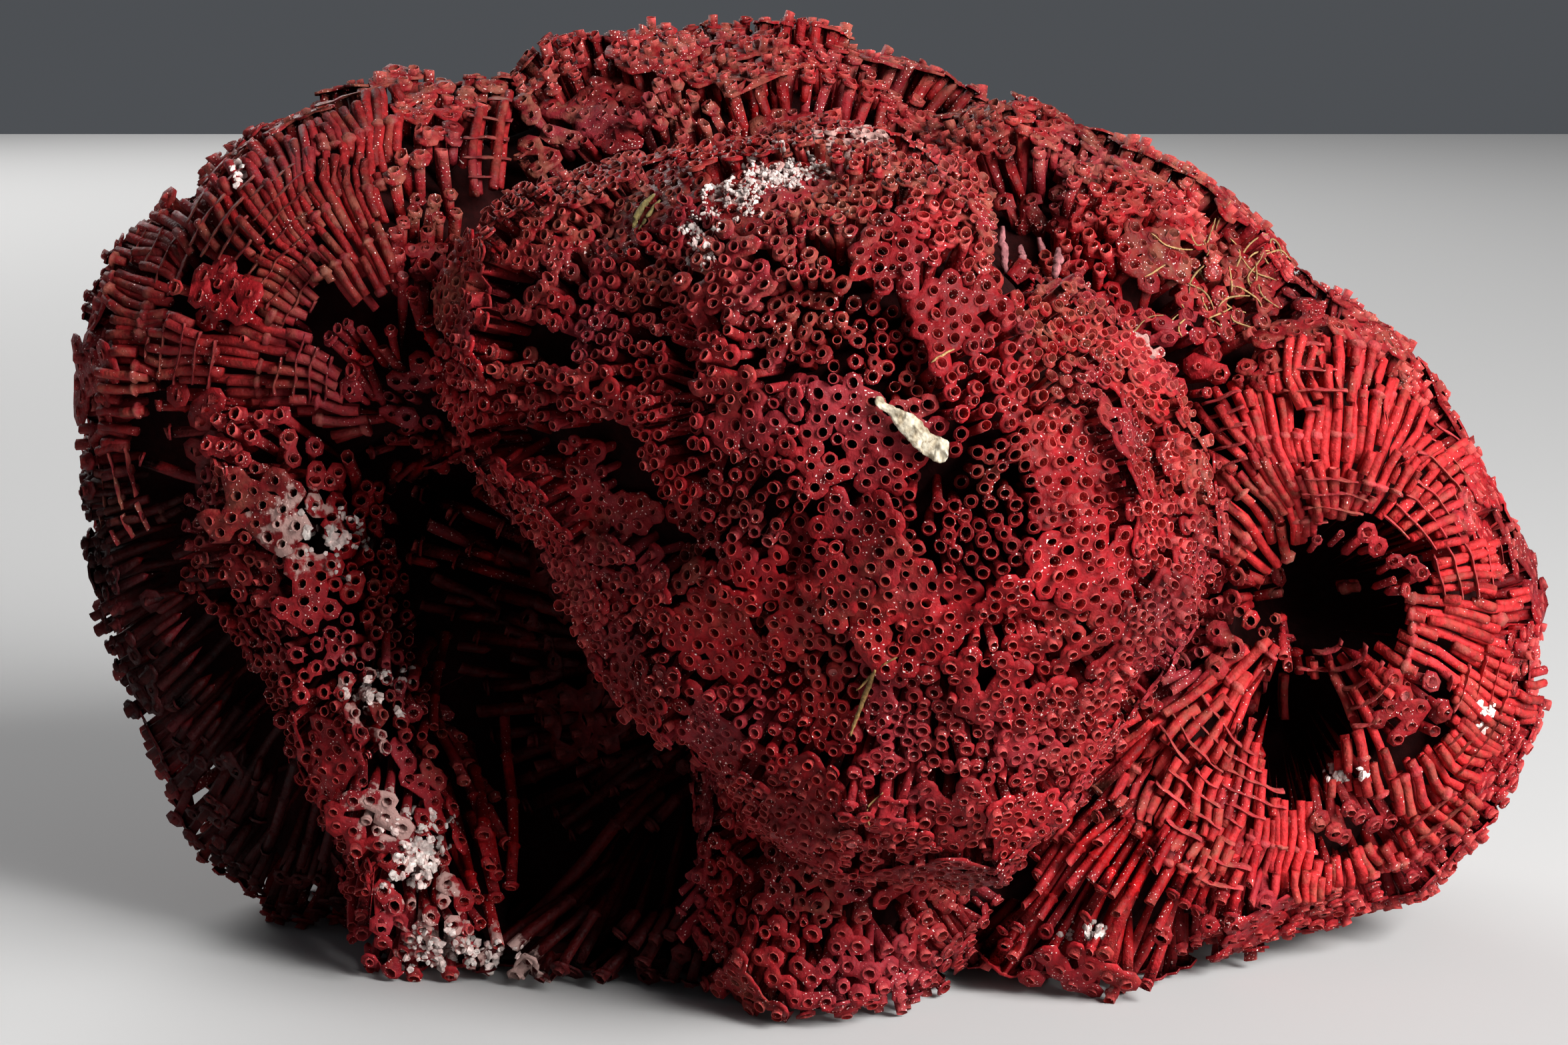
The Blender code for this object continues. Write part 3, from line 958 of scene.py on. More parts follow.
def flank_arcs(form, flank, owner_of, draw):
    """Cross plates of the lattice patches: rings and tones of wavy bands across the pipes."""
    arcs = []
    angles = (np.arange(ARC_SIDES) + 0.5) * math.tau / ARC_SIDES
    for patch in np.nonzero(flank.kind == LATTICE)[0]:
        off = flank.centres[patch] - flank.middle
        away, turn = math.hypot(*off), math.atan2(off[1], off[0])
        first = max(away - FLANK_PATCH, 1.0) + flank.shift[patch]
        for radius in np.arange(first, away + FLANK_PATCH, ARC_PITCH * draw.uniform(0.9, 1.2)):
            half = FLANK_PATCH / radius
            turns = turn + np.arange(-half, half, 0.8 / radius)
            bumpy = radius + 0.35 * smooth_noise(np.stack([turns * radius] * 3, -1), 5.0, 307)
            side = flank.middle[0] + bumpy * np.cos(turns)
            rise = flank.middle[1] + bumpy * np.sin(turns)
            points, kept = flank_points(form, flank, owner_of, side, rise)
            kept &= flank.patch(side, rise) == patch
            for part in unbroken(kept[1:] & kept[:-1]):
                if kept[part[0]] and len(part) >= 4:
                    route = points[part]
                    route[:, 1] += flank.level[patch] + 0.9
                    here = turns[part]
                    outward = np.stack([np.cos(here), here * 0.0, np.sin(here)], -1)
                    across = outward * draw.uniform(0.2, 0.34, (len(part), 1))
                    along = np.array((0.0, 1.0, 0.0)) * draw.uniform(1.15, 1.75, (len(part), 1))
                    rings = route[:, None] + circle_points(across, along, angles)
                    arcs.append((rings, flank.tone[patch] * draw.uniform(0.9, 1.15)))
    return arcs


def rib_route(flank, route, patch, draw):
    """The middle line of a rib: smoothed, set back to its level and a little crooked."""
    route[:, 1] = np.convolve(np.pad(route[:, 1], 2, "edge"), np.ones(5) / 5.0, "valid")
    route[:, 1] += (UNDER_LEVEL if patch < 0 else flank.level[patch]) + draw.uniform(0.3, 1.1)
    return route + 0.13 * noise_vectors(route + draw.uniform(0.0, 90.0), 3.0, 306)


def rib_widths(flank, radii, patch, outer, draw):
    """Radii where a rib's width is set, and its half widths there, flared at the cross plates."""
    step = 3 if patch < 0 else 2
    stops = [(float(radius), outer * draw.uniform(0.93, 1.06)) for radius in radii[::step]]
    stops.append((float(radii[-1]) + 0.3, outer))
    if patch >= 0 and flank.kind[patch] == RIBS:
        plates = np.arange(0.0, flank.reach[1] + 20.0, RIB_PLATES) + flank.shift[patch]
        for plate in plates[(plates > radii[0] + 0.6) & (plates < radii[-1])]:
            if draw.random() < 0.8:
                place = plate + draw.normal(0.0, 0.15)
                flare = FLANK_PITCH * draw.uniform(0.62, 0.86)
                half = draw.uniform(0.16, 0.42)
                stops = [stop for stop in stops if abs(stop[0] - place) > half + 0.5]
                stops += [(place - half - 0.3, outer), (place - half, flare)]
                stops += [(place + half, flare), (place + half + 0.3, outer)]
    return np.array(sorted(stops)).T


def rib_rings(centre, where, width, outer, draw):
    """Rings of a rib along its middle line, with an open bore at its outer end."""
    heading = unit(np.gradient(centre, where, axis=0) + 1e-6)
    across, along = pipe_frames(heading)
    angles = circle_angles(FLANK_SIDES)
    flared = (width > outer * 1.1)[:, None]
    shape = 1.0 + draw.normal(0.0, 0.05, (len(where), FLANK_SIDES)) * flared * 2.0
    rings = centre[:, None] + circle_points(across, along, angles) * (width[:, None] * shape)[..., None]
    mouth = circle_points(across[-1:], along[-1:], angles)
    inner = centre[-1] + mouth * outer * 0.84 - heading[-1] * 0.03
    floor = centre[-1] + mouth * outer * 0.7 - heading[-1] * 2.6
    return np.concatenate([rings, inner, floor])


def flank_mesh(name, form, flank, owner_of, draw):
    """The pipes that lie along one face, with cross plates over them in rows."""
    tubes = Tubes()
    for rings, tone in flank_arcs(form, flank, owner_of, draw):
        mask = np.zeros(rings.shape)
        mask[..., 1] = np.clip(0.5 + 0.5 * smooth_noise(rings, 9.0, 304), 0.0, 1.0)
        mask[..., 2] = FLANK_DULLNESS
        tubes.add(rings, FLANK_PLATE * tone, mask)
    for route, radii, patch in flank_runs(form, flank, owner_of, draw):
        under = patch < 0
        route = rib_route(flank, route, patch, draw)
        outer = FLANK_PITCH * draw.uniform(0.43, 0.51)
        where, width = rib_widths(flank, radii, patch, outer, draw)
        centre = np.stack([np.interp(where, radii, route[:, axis]) for axis in range(3)], -1)
        centre[-1] = route[-1] + (route[-1] - route[-2]) * 0.3
        rings = rib_rings(centre, where, width, outer, draw)
        raised = np.clip((width - outer * 1.1) / 0.3, 0.0, 1.0)[:, None]
        tone = draw.uniform(0.95, 1.3) * (flank.under_tone if under else flank.tone[patch])
        dull = FLANK_DULLNESS
        # Painted shade: the outer fan's ribs are darkened and dulled low down, facing the viewer
        if flank.lobe == HOLLOW_LOBE:
            middle = route.mean(0)
            shade = float(hollow_shade(middle, form.normal(middle)))
            tone *= shade
            dull = max(dull, DIM_DULLNESS * (1.0 - shade))
        colour = (FLANK_WALL * (1.0 - raised) + FLANK_PLATE * raised) * tone
        colour = np.concatenate([colour, LIT_RIM_AND_HIGHLIGHT[None] * tone, SHADED_BORE_FLOOR[None]])
        mask = np.zeros(colour.shape)
        dusty = 0.3 + 0.4 * smooth_noise(centre, 9.0, 304)[:, None] + raised * 0.35
        mask[:-2, 1] = 0.0 if under else np.clip(dusty, 0.0, 1.0)[:, 0]
        mask[:, 2] = dull
        tubes.add(rings, colour[:, None], mask[:, None])
    return tubes.mesh(name, bent=True)


def select(pipes, chosen):
    """The pipes that are chosen by number or by a mask."""
    return {key: value[chosen] for key, value in pipes.items()}


def terraces(lobe, grown, square, patch, patches, draw):
    """Radius of each pipe's top plate, its patch's normal and the height of its patch.

    Each patch is a small terrace: a plane at its own level and tilt.
    """
    aim, tips, leave = grown["aim"], grown["tip"], grown["leave"]
    level = -np.abs(draw.normal(0.0, 1.2, patches))
    level -= np.where(draw.random(patches) < 0.07, draw.uniform(2.5, 5.0, patches), 0.0)
    middle, facing = patch_planes(tips, grown["normal"], patch, patches)
    facing = unit(facing + draw.normal(0.0, 0.07, (patches, 3)))
    plane_normal = facing[patch]
    slope = np.einsum("ij,ij->i", aim, plane_normal)
    to_plane = np.einsum("ij,ij->i", middle[patch] - lobe.root, plane_normal) + level[patch]
    on_plane = to_plane / np.maximum(slope, 0.2)
    plate_radius = np.clip(on_plane, leave - 5.0, leave + 1.0)
    loose = leave + np.clip(level[patch], -2.5, 0.0) + draw.normal(0.0, 0.7, len(aim))
    plate_radius = np.where(square < GRAZING, loose, plate_radius) - 0.6
    return plate_radius + ripple(tips), plane_normal, middle[patch, 2]


def crevices(name, flanks, grown, border, bottom, plate_radius, draw):
    """Plate radii after the crevices and holes, and which pipes are on a crevice, sunk or lost.

    Borders of the patches are dark crevices, where pipes are lost or end deeper.
    """
    tips = grown["tip"]
    count = len(tips)
    crack = np.clip(0.25 + 1.3 * smooth_noise(tips, 8.0, 60), 0.0, 1.7)
    on_crack = (border < crack) & ~bottom
    lost = (on_crack & (draw.random(count) < 0.4)) | ((draw.random(count) < 0.03) & ~bottom)
    sunk = on_crack & ~lost
    plate_radius = plate_radius - np.where(sunk, draw.uniform(1.0, 4.0, count), 0.0)
    for place, size, depth in HOLES:
        away = np.linalg.norm((tips - np.array(place)) / np.array(size), axis=1)
        away += 0.25 * smooth_noise(tips, 4.5, 63)
        plate_radius -= depth * np.clip(1.6 - 1.6 * away, 0.0, 1.0)
        lost |= (away < 0.75) & (depth > 8.0)
    for flank in flanks:
        if flank.lobe == name:
            lost |= flank.holds(tips, grown["normal"])
    return plate_radius, on_crack, sunk, lost


def hidden_lengths(form, grown, centre, plate_radius):
    """How far each pipe runs down below its top plate, and how deep its apex lies."""
    steps = np.arange(1, 34) * RAY_STEP
    below = centre[:, None, :] - grown["aim"][:, None, :] * steps[None, :, None]
    deep = form.distance(below) < -HIDDEN_DEPTH
    length = steps[np.where(deep.any(1), deep.argmax(1), len(steps) - 1)]
    room = np.maximum(plate_radius - np.maximum(grown["birth"], grown["entry"]), 4.0)
    length = np.clip(length, 4.0, room)
    return length, np.minimum(length + APEX_REACH, room + 1.0)


def dress_pipes(form, name, lobe, flanks, grown, draw):
    """Levels, plates, widths and tilts of a lobe's pipes."""
    count = len(grown["aim"])
    aim, tips, normal = grown["aim"], grown["tip"], grown["normal"]
    pitch = np.where(grown["facing"], lobe.pitch, lobe.back_pitch)
    patch, border, patches = patch_numbers(tips, PATCH_SIZE, draw)
    bottom = tips[:, 2] < BOTTOM_HEIGHT
    square = np.abs(np.einsum("ij,ij->i", aim, normal))
    grazing = square < GRAZING
    plate_radius, plane_normal, height = terraces(lobe, grown, square, patch, patches, draw)
    plate_radius, on_crack, sunk, lost = crevices(
        name, flanks, grown, border, bottom, plate_radius, draw
    )
    ground = (1.4 / np.maximum(-aim[:, 2], 0.3)) * bottom
    plate_radius = np.where(bottom, grown["leave"] - ground, plate_radius)

    age = plate_radius - grown["birth"]
    young = np.clip(age / JUVENILE_AGE, 0.0, 1.0)
    outer = pitch * PIPE_SHARE * (0.6 + 0.4 * young) * draw.uniform(0.84, 1.12, count)
    centre = lobe.root + aim * plate_radius[:, None]
    length, apex = hidden_lengths(form, grown, centre, plate_radius)

    lean = np.clip((square - 0.4) * 1.2, 0.0, 0.5)[:, None]
    crooked = np.where(draw.random(count) < 0.25, 0.16, 0.06)[:, None]
    crooked = draw.normal(0.0, 1.0, (count, 3)) * crooked
    axis = unit(aim * (1.0 - lean) + plane_normal * lean + crooked)
    plate_normal = unit(np.where(grazing[:, None], axis, plane_normal))
    plate_across, plate_along = pipe_frames(plate_normal)
    across = unit(plate_across - axis * np.einsum("ij,ij->i", plate_across, axis)[:, None])
    along = np.cross(axis, across)
    rise = 0.1 + np.abs(draw.normal(0.0, 0.3, count))
    tall = draw.random(count) < np.where(on_crack, 0.6, 0.1)
    rise += np.where(tall, draw.uniform(0.3, 1.4, count), 0.0)
    rise += (draw.random(patches) < 0.15)[patch] * 0.8
    dust = 0.55 * np.clip(normal[:, 2], 0.0, 1.0) - 0.1 + 0.5 * smooth_noise(tips, 12.0, 70)
    dust = np.clip(dust, 0.0, 1.0)
    alone = (sunk | grazing | (draw.random(count) < 0.12)) & ~bottom
    own_patch = np.where(alone, -1 - np.arange(count), patch)
    reach = pitch * (draw.uniform(*SHEET_SHARES, patches)[patch] * draw.uniform(0.9, 1.12, count))
    reach = np.where(alone, outer * draw.uniform(0.8, 1.6, count), np.maximum(reach, outer * 1.25))
    patch_size = np.maximum(np.bincount(patch, minlength=patches), 1)
    patch_facing = (np.bincount(patch, grown["facing"], patches) / patch_size > 0.5)[patch]
    bitten = np.where(draw.random((count, 1)) < 0.2, draw.uniform(0.3, 1.2, (count, 1)), 0.0)
    kept = {
        "aim": aim,
        "axis": axis,
        "across": across,
        "along": along,
        "plate_across": plate_across,
        "plate_along": plate_along,
        "plate_normal": plate_normal,
        "centre": centre,
        "outer": outer,
        "bore": draw.uniform(0.82, 0.9, count),
        "oval": draw.uniform(0.0, 0.1, (count, 1)),
        "oval_turn": draw.uniform(0.0, math.tau, (count, 1)),
        "reach": reach,
        "pitch": pitch,
        "patch": own_patch,
        "height": height,
        "facing": patch_facing,
        "rise": rise,
        "bite": bitten,
        "bite_turn": draw.uniform(0.0, math.tau, (count, 1)),
        "slant": draw.uniform(0.0, 0.25, (count, 1)) * np.where(alone, 2.2, 1.0)[:, None],
        "slant_turn": draw.uniform(0.0, math.tau, (count, 1)),
        "curl": draw.normal(-0.05, 0.12, (count, 1)),
        "length": length,
        "apex": apex,
        "radius": plate_radius,
        "grazing": square < COLLARED,
        "lid": draw.random(count) < 0.008,
        "tone": lobe.tone * draw.uniform(0.68, 1.18, patches)[patch] * draw.uniform(0.88, 1.1, count),
        "faded": np.clip(0.4 + 0.8 * smooth_noise(tips, 18.0, 80), 0.0, 1.0),
        "dust": dust,
        "dim": np.zeros(count),
        "flare": np.where(
            draw.random((count, MOST_COLLARS)) < 0.7,
            draw.uniform(0.5, 1.0, (count, MOST_COLLARS)),
            0.05,
        ),
    }
    # Painted shade: the base's pipes in the cavity are darkened and dulled
    if name == CAVITY_LOBE:
        within = (tips[:, 1] < CAVITY_BACK) & (tips[:, 0] < CAVITY_SIDE)
        kept["tone"] = kept["tone"] * np.where(within, CAVITY_SHADE_TONE, 1.0)
        kept["dim"] = within.astype(float)
    # Painted shade: the outer fan's pipes are darkened and dulled low down, facing the viewer
    if name == HOLLOW_LOBE:
        shade = hollow_shade(tips, normal)
        kept["tone"] = kept["tone"] * shade
        kept["dim"] = 1.0 - shade
    return select(kept, ~lost)


def collar_heights(pipes):
    """Heights of the cross plates below each pipe's top, on shared shells about the root."""
    shift = 2.5 * smooth_noise(pipes["aim"] * 60.0, 20.0, 90)
    first = np.floor((pipes["radius"] - 3.0 - shift) / PLATE_PITCH)
    shells = (first[:, None] - np.arange(MOST_COLLARS)[None, :]) * PLATE_PITCH + shift[:, None]
    heights = shells - pipes["radius"][:, None]
    seen = np.minimum(pipes["length"], COLLAR_DEPTH)[:, None]
    fits = (heights > -seen) & pipes["grazing"][:, None]
    return heights, fits.sum(1)


def lobe_batches(pipes, lobe, draw):
    """Fine pipes where the coral faces the viewer, and simpler ones behind.

    A large lobe is parted at a height, into an upper and a lower piece.
    """
    pipes["collars"], counts = collar_heights(pipes)
    height = pipes["height"]
    if lobe.split is None:
        parts = {"": np.ones(len(height), bool)}
    else:
        parts = {"_upper": height >= lobe.split, "_lower": height < lobe.split}
    found = {title: [] for title in parts}
    for sides, seen in ((lobe.sides, True), (BACK_SIDES, False)):
        angles = circle_angles(sides)
        for title, part in parts.items():
            here = part & (pipes["facing"] == seen)
            if not here.any():
                continue
            sheet = grow_sheets(pipes, np.nonzero(here)[0], angles, draw)
            snug = ~sheet.edged & (counts == 0)
            batch = Batch(sides, len(height))
            for number, inner in itertools.product(np.unique(counts), (False, True)):
                chosen = np.nonzero((counts == number) & (snug == inner) & here)[0]
                if len(chosen):
                    pipe_batch(select(pipes, chosen), chosen, int(number), inner, batch)
            batch.add_sheet(sheet, pipes)
            found[title].append(batch)
    return found.items()


# Materials

class Shading:
    """A Principled material, and short calls for the nodes that feed its shader."""

    def __init__(self, name, specular, roughness=0.5):
        self.material = bpy.data.materials.new(name)
        self.material.use_nodes = True
        self.tree = self.material.node_tree
        self.inputs = self.tree.nodes["Principled BSDF"].inputs
        self.inputs["Specular IOR Level"].default_value = specular
        self.inputs["Roughness"].default_value = roughness

    def feed(self, socket, value):
        """Set a socket to a plain value, or link it to a node's output."""
        if isinstance(value, (float, tuple)):
            socket.default_value = value
        else:
            self.tree.links.new(value, socket)

    def node(self, kind, **settings):
        """A new node with its settings."""
        made = self.tree.nodes.new(kind)
        for key, value in settings.items():
            setattr(made, key, value)
        return made

    def layer(self, name):
        """A colour layer of the mesh."""
        return self.node("ShaderNodeVertexColor", layer_name=name).outputs["Color"]

    def noise(self, scale, detail):
        """Noise in the object's own space, with its scale in waves to a metre."""
        made = self.node("ShaderNodeTexNoise")
        self.feed(made.inputs["Scale"], scale)
        self.feed(made.inputs["Detail"], detail)
        place = self.tree.nodes.get("Texture Coordinate") or self.node("ShaderNodeTexCoord")
        self.feed(made.inputs["Vector"], place.outputs["Object"])
        return made.outputs["Fac"]

    def ramp(self, value, low, high, low_out=0.0, high_out=1.0):
        """A value led from one range to another, and held at its ends."""
        made = self.node("ShaderNodeMapRange", clamp=True)
        ends = {"Value": value, "From Min": low, "From Max": high, "To Min": low_out, "To Max": high_out}
        for title, end in ends.items():
            self.feed(made.inputs[title], end)
        return made.outputs["Result"]

    def maths(self, operation, first, second):
        """Two values joined by a sum, product or the like."""
        made = self.node("ShaderNodeMath", operation=operation)
        self.feed(made.inputs[0], first)
        self.feed(made.inputs[1], second)
        return made.outputs[0]

    def times(self, first, second):
        """The product of two values."""
        return self.maths("MULTIPLY", first, second)

    def mix(self, factor, first, second, blend_type="MIX"):
        """Two colours mixed."""
        made = self.node("ShaderNodeMix", data_type="RGBA", blend_type=blend_type)
        for number, value in ((0, factor), (6, first), (7, second)):
            self.feed(made.inputs[number], value)
        return made.outputs[2]

    def bump(self, height, strength):
        """Fine relief on the surface, up to 0.4 mm."""
        made = self.node("ShaderNodeBump")
        self.feed(made.inputs["Strength"], strength)
        self.feed(made.inputs["Distance"], 0.4 * MM)
        self.feed(made.inputs["Height"], height)
        self.feed(self.inputs["Normal"], made.outputs[0])


ROSY = (0.20, 0.022, 0.032, 1.0)
DUST = (0.25, 0.105, 0.065, 1.0)
CRUST = (0.42, 0.27, 0.24, 1.0)
GLINT_COLOUR = (0.80, 0.58, 0.53, 1.0)


def coral_material():
    """Crimson skeleton: mottled, rosy in places, with dust, pale crust and painted glints as bright
    specks.
    """
    made = Shading("coral_skeleton_pipes", 0.1)
    noise, ramp, times, mix = made.noise, made.ramp, made.times, made.mix
    split = made.node("ShaderNodeSeparateColor")
    made.feed(split.inputs[0], made.layer("masks"))
    crusted, dusty, dull = split.outputs

    fine = ramp(noise(750.0, 4.0), 0.3, 0.7, 0.6, 1.3)
    broad = ramp(noise(85.0, 3.0), 0.3, 0.7, 0.72, 1.15)
    colour = mix(1.0, made.layer("tint"), times(fine, broad), "MULTIPLY")
    calm = ramp(dull, 0.0, DIM_DULLNESS, 1.0, 0.0)
    colour = mix(times(ramp(noise(65.0, 3.0), 0.52, 0.7, 0.0, 0.5), calm), colour, ROSY)
    dust = times(times(dusty, ramp(noise(420.0, 4.0), 0.42, 0.62)), 0.75)
    colour = mix(times(dust, calm), colour, DUST)
    crust_edge = made.maths("ADD", crusted, ramp(noise(520.0, 4.0), 0.3, 0.7, -0.55, 0.35))
    colour = mix(times(ramp(crust_edge, 0.35, 0.6), 0.75), colour, CRUST)
    # Painted highlight: small bright glint specks in clusters, fewer where painted shade dulls
    cluster = ramp(noise(140.0, 2.0), 0.45, 0.7)
    grain = made.maths("ADD", noise(3000.0, 0.0), times(cluster, 0.08))
    glint = ramp(made.maths("SUBTRACT", grain, dull), 0.80, 0.825)
    made.feed(made.inputs["Base Color"], mix(glint, colour, GLINT_COLOUR))
    rough = ramp(noise(1500.0, 2.0), 0.3, 0.7, 0.38, 0.72)
    made.feed(made.inputs["Roughness"], made.maths("MAXIMUM", rough, dull))
    made.bump(noise(1500.0, 5.0), 0.7)
    return made.material


def coat_material(name, scale, roughness):
    """A rough crust or fibre: its own colour layer, mottled and bumped by noise."""
    made = Shading(name, 0.25, roughness)
    noise = made.noise(scale, 5.0)
    shade = made.ramp(noise, 0.3, 0.68, 0.5, 1.15)
    made.feed(made.inputs["Base Color"], made.mix(1.0, made.layer("tint"), shade, "MULTIPLY"))
    made.bump(noise, 0.9)
    return made.material


# The dark mass of pipes deeper in, painted near black as shade

CORE_DEPTH = 8.0
DEEP_VOXELS = (4.0, 5.0)
DEEP_BOTTOM = 0.5


def deep_mass(corners, faces):
    """The form shrunk to just under the modelled pipes."""
    first, last = (voxel_skin(size) for size in DEEP_VOXELS)
    shrink = ("DISPLACE", {"mid_level": 0.0, "strength": -CORE_DEPTH * MM})
    made = reshaped(corners, faces, [first, shrink, last])
    points = np.empty(len(made.vertices) * 3)
    made.vertices.foreach_get("co", points)
    points = points.reshape(-1, 3) / MM
    points[:, 2] = np.maximum(points[:, 2], DEEP_BOTTOM)
    loops = np.empty(len(made.loops), int)
    made.loops.foreach_get("vertex_index", loops)
    totals = np.empty(len(made.polygons), int)
    made.polygons.foreach_get("loop_total", totals)
    bpy.data.meshes.remove(made)
    colours = np.broadcast_to(SHADED_CORE, points.shape)
    masks = np.zeros_like(points)
    masks[:, 2] = 1.0
    return mesh_object("base_mass_depth", [points], [loops], [totals], [colours], [masks])


# Things lodged in the coral and grown on it

CREAM = np.array((0.57, 0.50, 0.38))
CREAM_SHADE = np.array((0.24, 0.175, 0.10))
STRAW = np.array((0.42, 0.26, 0.10))
ALGA = np.array((0.20, 0.11, 0.035))
OLIVE = np.array((0.16, 0.12, 0.04))
NET = np.array((0.36, 0.22, 0.09))
GRAIN = np.array((0.90, 0.80, 0.74))

CHIP_TILT = math.radians(35.0)
CHIP_HALF_LENGTH = 7.0
CHIP_SHIFT = np.array((-0.9, 1.0, 0.4))
CHIP_ROWS = 96
CHIP_SIDES = 44

# Fibres that lie on the coral: name, colour, thickness and the photo's pixels that they pass
FIBRES = [
    ("straw_fibre", STRAW, 0.42,
     [(1396, 545), (1404, 538), (1413, 532), (1422, 528), (1431, 524)]),
    ("alga_fibre", ALGA, 0.5,
     [(1345, 985), (1328, 992), (1318, 1004), (1306, 1010), (1296, 1028), (1284, 1036)]),
    ("alga_shred", ALGA, 0.8,
     [(1312, 1006), (1306, 1022), (1297, 1040), (1290, 1062), (1281, 1082), (1276, 1104)]),
    ("alga_thread", STRAW, 0.34,
     [(1324, 1190), (1312, 1202), (1300, 1208), (1294, 1222), (1304, 1238)]),
    ("olive_shred", OLIVE, 1.1,
     [(982, 292), (972, 300), (962, 312), (955, 326), (950, 342)]),
    ("olive_blade", OLIVE, 0.7,
     [(990, 300), (977, 314), (969, 330), (958, 344)]),
]
FIBRE_SIDES = 6
FIBRE_STEP = 0.5

# Pale crusts of small grains: name, node, size of the grains, their number, and the photo's
# pixels that each stretch covers, as a middle and half sizes
GRAIN_CRUSTS = [
    ("front_crust_grains", "front_lobe", (0.2, 0.5), 840,
     [(1205, 250, 62, 26), (1150, 270, 50, 22), (1095, 300, 48, 36), (1045, 352, 22, 34)]),
    ("ridge_crust_grains", "left_inner_ridge", (0.3, 0.85), 700,
     [(503, 808, 44, 52), (562, 1040, 34, 42), (628, 1275, 46, 66), (680, 1432, 86, 30)]),
    ("fan_crust_grains", "left_outer_fan", (0.4, 0.8), 24, [(362, 256, 12, 12)]),
    ("right_crust_grains", "right_lobe", (0.35, 0.8), 90,
     [(1640, 1402, 22, 18), (2048, 1160, 14, 12), (2225, 1072, 14, 12), (2000, 1165, 12, 12)]),
]
GRAINS_A_LUMP = 7
GRAIN_SPREAD = 7.0
GRAIN_BEND = math.radians(35.0)
FARTHEST_GRAIN = CAMERA_DISTANCE + 60.0

# A net of dry threads on the right rear lobe, in the photo's pixels
NET_THREADS = 34
NET_AREA = ((1735, 335), (1925, 480))
NET_STEP = 13.0
NET_THICKNESS = 0.34

# Pink posts in the hole between the front lobe and the right rear one: top and foot pixels
POSTS = [
    ((1500, 340), (1512, 408)), ((1532, 366), (1528, 414)),
    ((1560, 356), (1570, 412)), ((1590, 372), (1584, 418)),
]
POST_COLOUR = np.array((0.27, 0.095, 0.10))
POST_THICKNESS = 1.6


def build_chip(material):
    """The chip of shell: a crooked flake, thin at its upper end and broad at the lower one."""
    low, high = (np.array(corner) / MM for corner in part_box("shell_chip"))
    middle = (low + high) / 2.0 + CHIP_SHIFT
    length_axis = np.array((math.cos(CHIP_TILT), 0.0, -math.sin(CHIP_TILT)))
    width_axis = np.array((math.sin(CHIP_TILT), 0.0, math.cos(CHIP_TILT)))
    depth_axis = np.array((0.0, -1.0, 0.0))
    share = np.linspace(0.0, 1.0, CHIP_ROWS)[:, None]
    turn = circle_angles(CHIP_SIDES)
    round_ends = np.minimum(1.0, np.minimum(share / 0.07, (1.0 - share) / 0.10)) ** 0.55
    upper = 0.8 + 0.25 * share + 0.28 * np.sin(share * 15.0 + 0.6)
    upper = upper - 0.3 * np.exp(-((share - 0.86) / 0.05) ** 2)
    lower = 0.5 + 2.5 * share ** 1.1 + 0.4 * np.sin(share * 10.0 + 2.0) * share
    width = (upper + lower) / 2.0 * round_ends
    depth = (0.35 + 0.3 * share) * round_ends
    centre_line = (upper - lower) / 2.0 + 0.7
    side = np.sign(np.cos(turn)) * np.abs(np.cos(turn)) ** 0.8 * width + centre_line
    front = np.sign(np.sin(turn)) * np.abs(np.sin(turn)) ** 0.6 * depth
    fold = 0.6 * np.exp(-((side - centre_line - 0.3) / 0.4) ** 2) * (share > 0.82)
    dent = -0.5 * np.exp(-((share - 0.8) / 0.03) ** 2) - 0.35 * np.exp(-((share - 0.37) / 0.02) ** 2)
    front = front + np.where(front > 0.0, fold + dent * (side > centre_line - 0.2), 0.0)
    along = (share * 2.0 - 1.0) * CHIP_HALF_LENGTH + 0.0 * side
    points = middle + along[..., None] * length_axis + side[..., None] * width_axis
    points = points + front[..., None] * depth_axis
    rough = 0.0
    for size, height, seed in ((2.4, 0.34, 200), (0.9, 0.2, 210), (0.4, 0.1, 220)):
        rough = rough + height * noise_vectors(points, size, seed)
    points = points + rough
    worn_and_shaded = 0.5 + 0.55 * smooth_noise(points, 1.1, 230) + 0.35 * smooth_noise(points, 0.4, 231)
    crack = np.abs(share - 0.72 - 0.03 * np.sin(side * 3.0)) < 0.006
    # Worn pits and a crack, and painted shade that darkens the chip's back face
    worn_and_shaded = np.where(crack, 0.0, np.clip(worn_and_shaded, 0.0, 1.0)) * np.clip(0.6 + front / 1.6, 0.25, 1.0)
    colours = CREAM_SHADE + (CREAM - CREAM_SHADE) * np.clip(worn_and_shaded * 1.5, 0.0, 1.0)[..., None]
    chip = tube_object("shell_chip_flake", points, colours)
    finish_piece(chip, material, "shell_chip")


class Skin:
    """The finished coral's surface, to set small things on."""

    def __init__(self, pieces):
        view = bpy.context.evaluated_depsgraph_get()
        self.trees = [BVHTree.FromObject(piece, view) for piece in pieces]

    def cast(self, place, aim):
        """The first point on the coral along a ray, in millimetres, and its normal."""
        hits = [tree.ray_cast(Vector(place * MM), Vector(aim)) for tree in self.trees]
        hits = [hit for hit in hits if hit[0] is not None]
        if not hits:
            return None, None
        point, normal, _, _ = min(hits, key=lambda hit: hit[3])
        if normal.dot(Vector(aim)) > 0.0:
            normal = -normal
        return np.array(point) / MM, np.array(normal)

    def pixel_ray(self, u, v):
        """The direction from the camera through a pixel of the photograph."""
        focal = LENS / SENSOR * IMAGE_SIZE[0]
        side = (u - IMAGE_SIZE[0] / 2.0) / focal
        rise = (IMAGE_SIZE[1] / 2.0 - v) / focal
        return unit(CAMERA_AXIS + side * np.array((1.0, 0.0, 0.0)) + rise * CAMERA_UP)

    def at_pixel(self, u, v):
        """Where a pixel of the photograph meets the coral."""
        return self.cast(CAMERA_PLACE, self.pixel_ray(u, v))


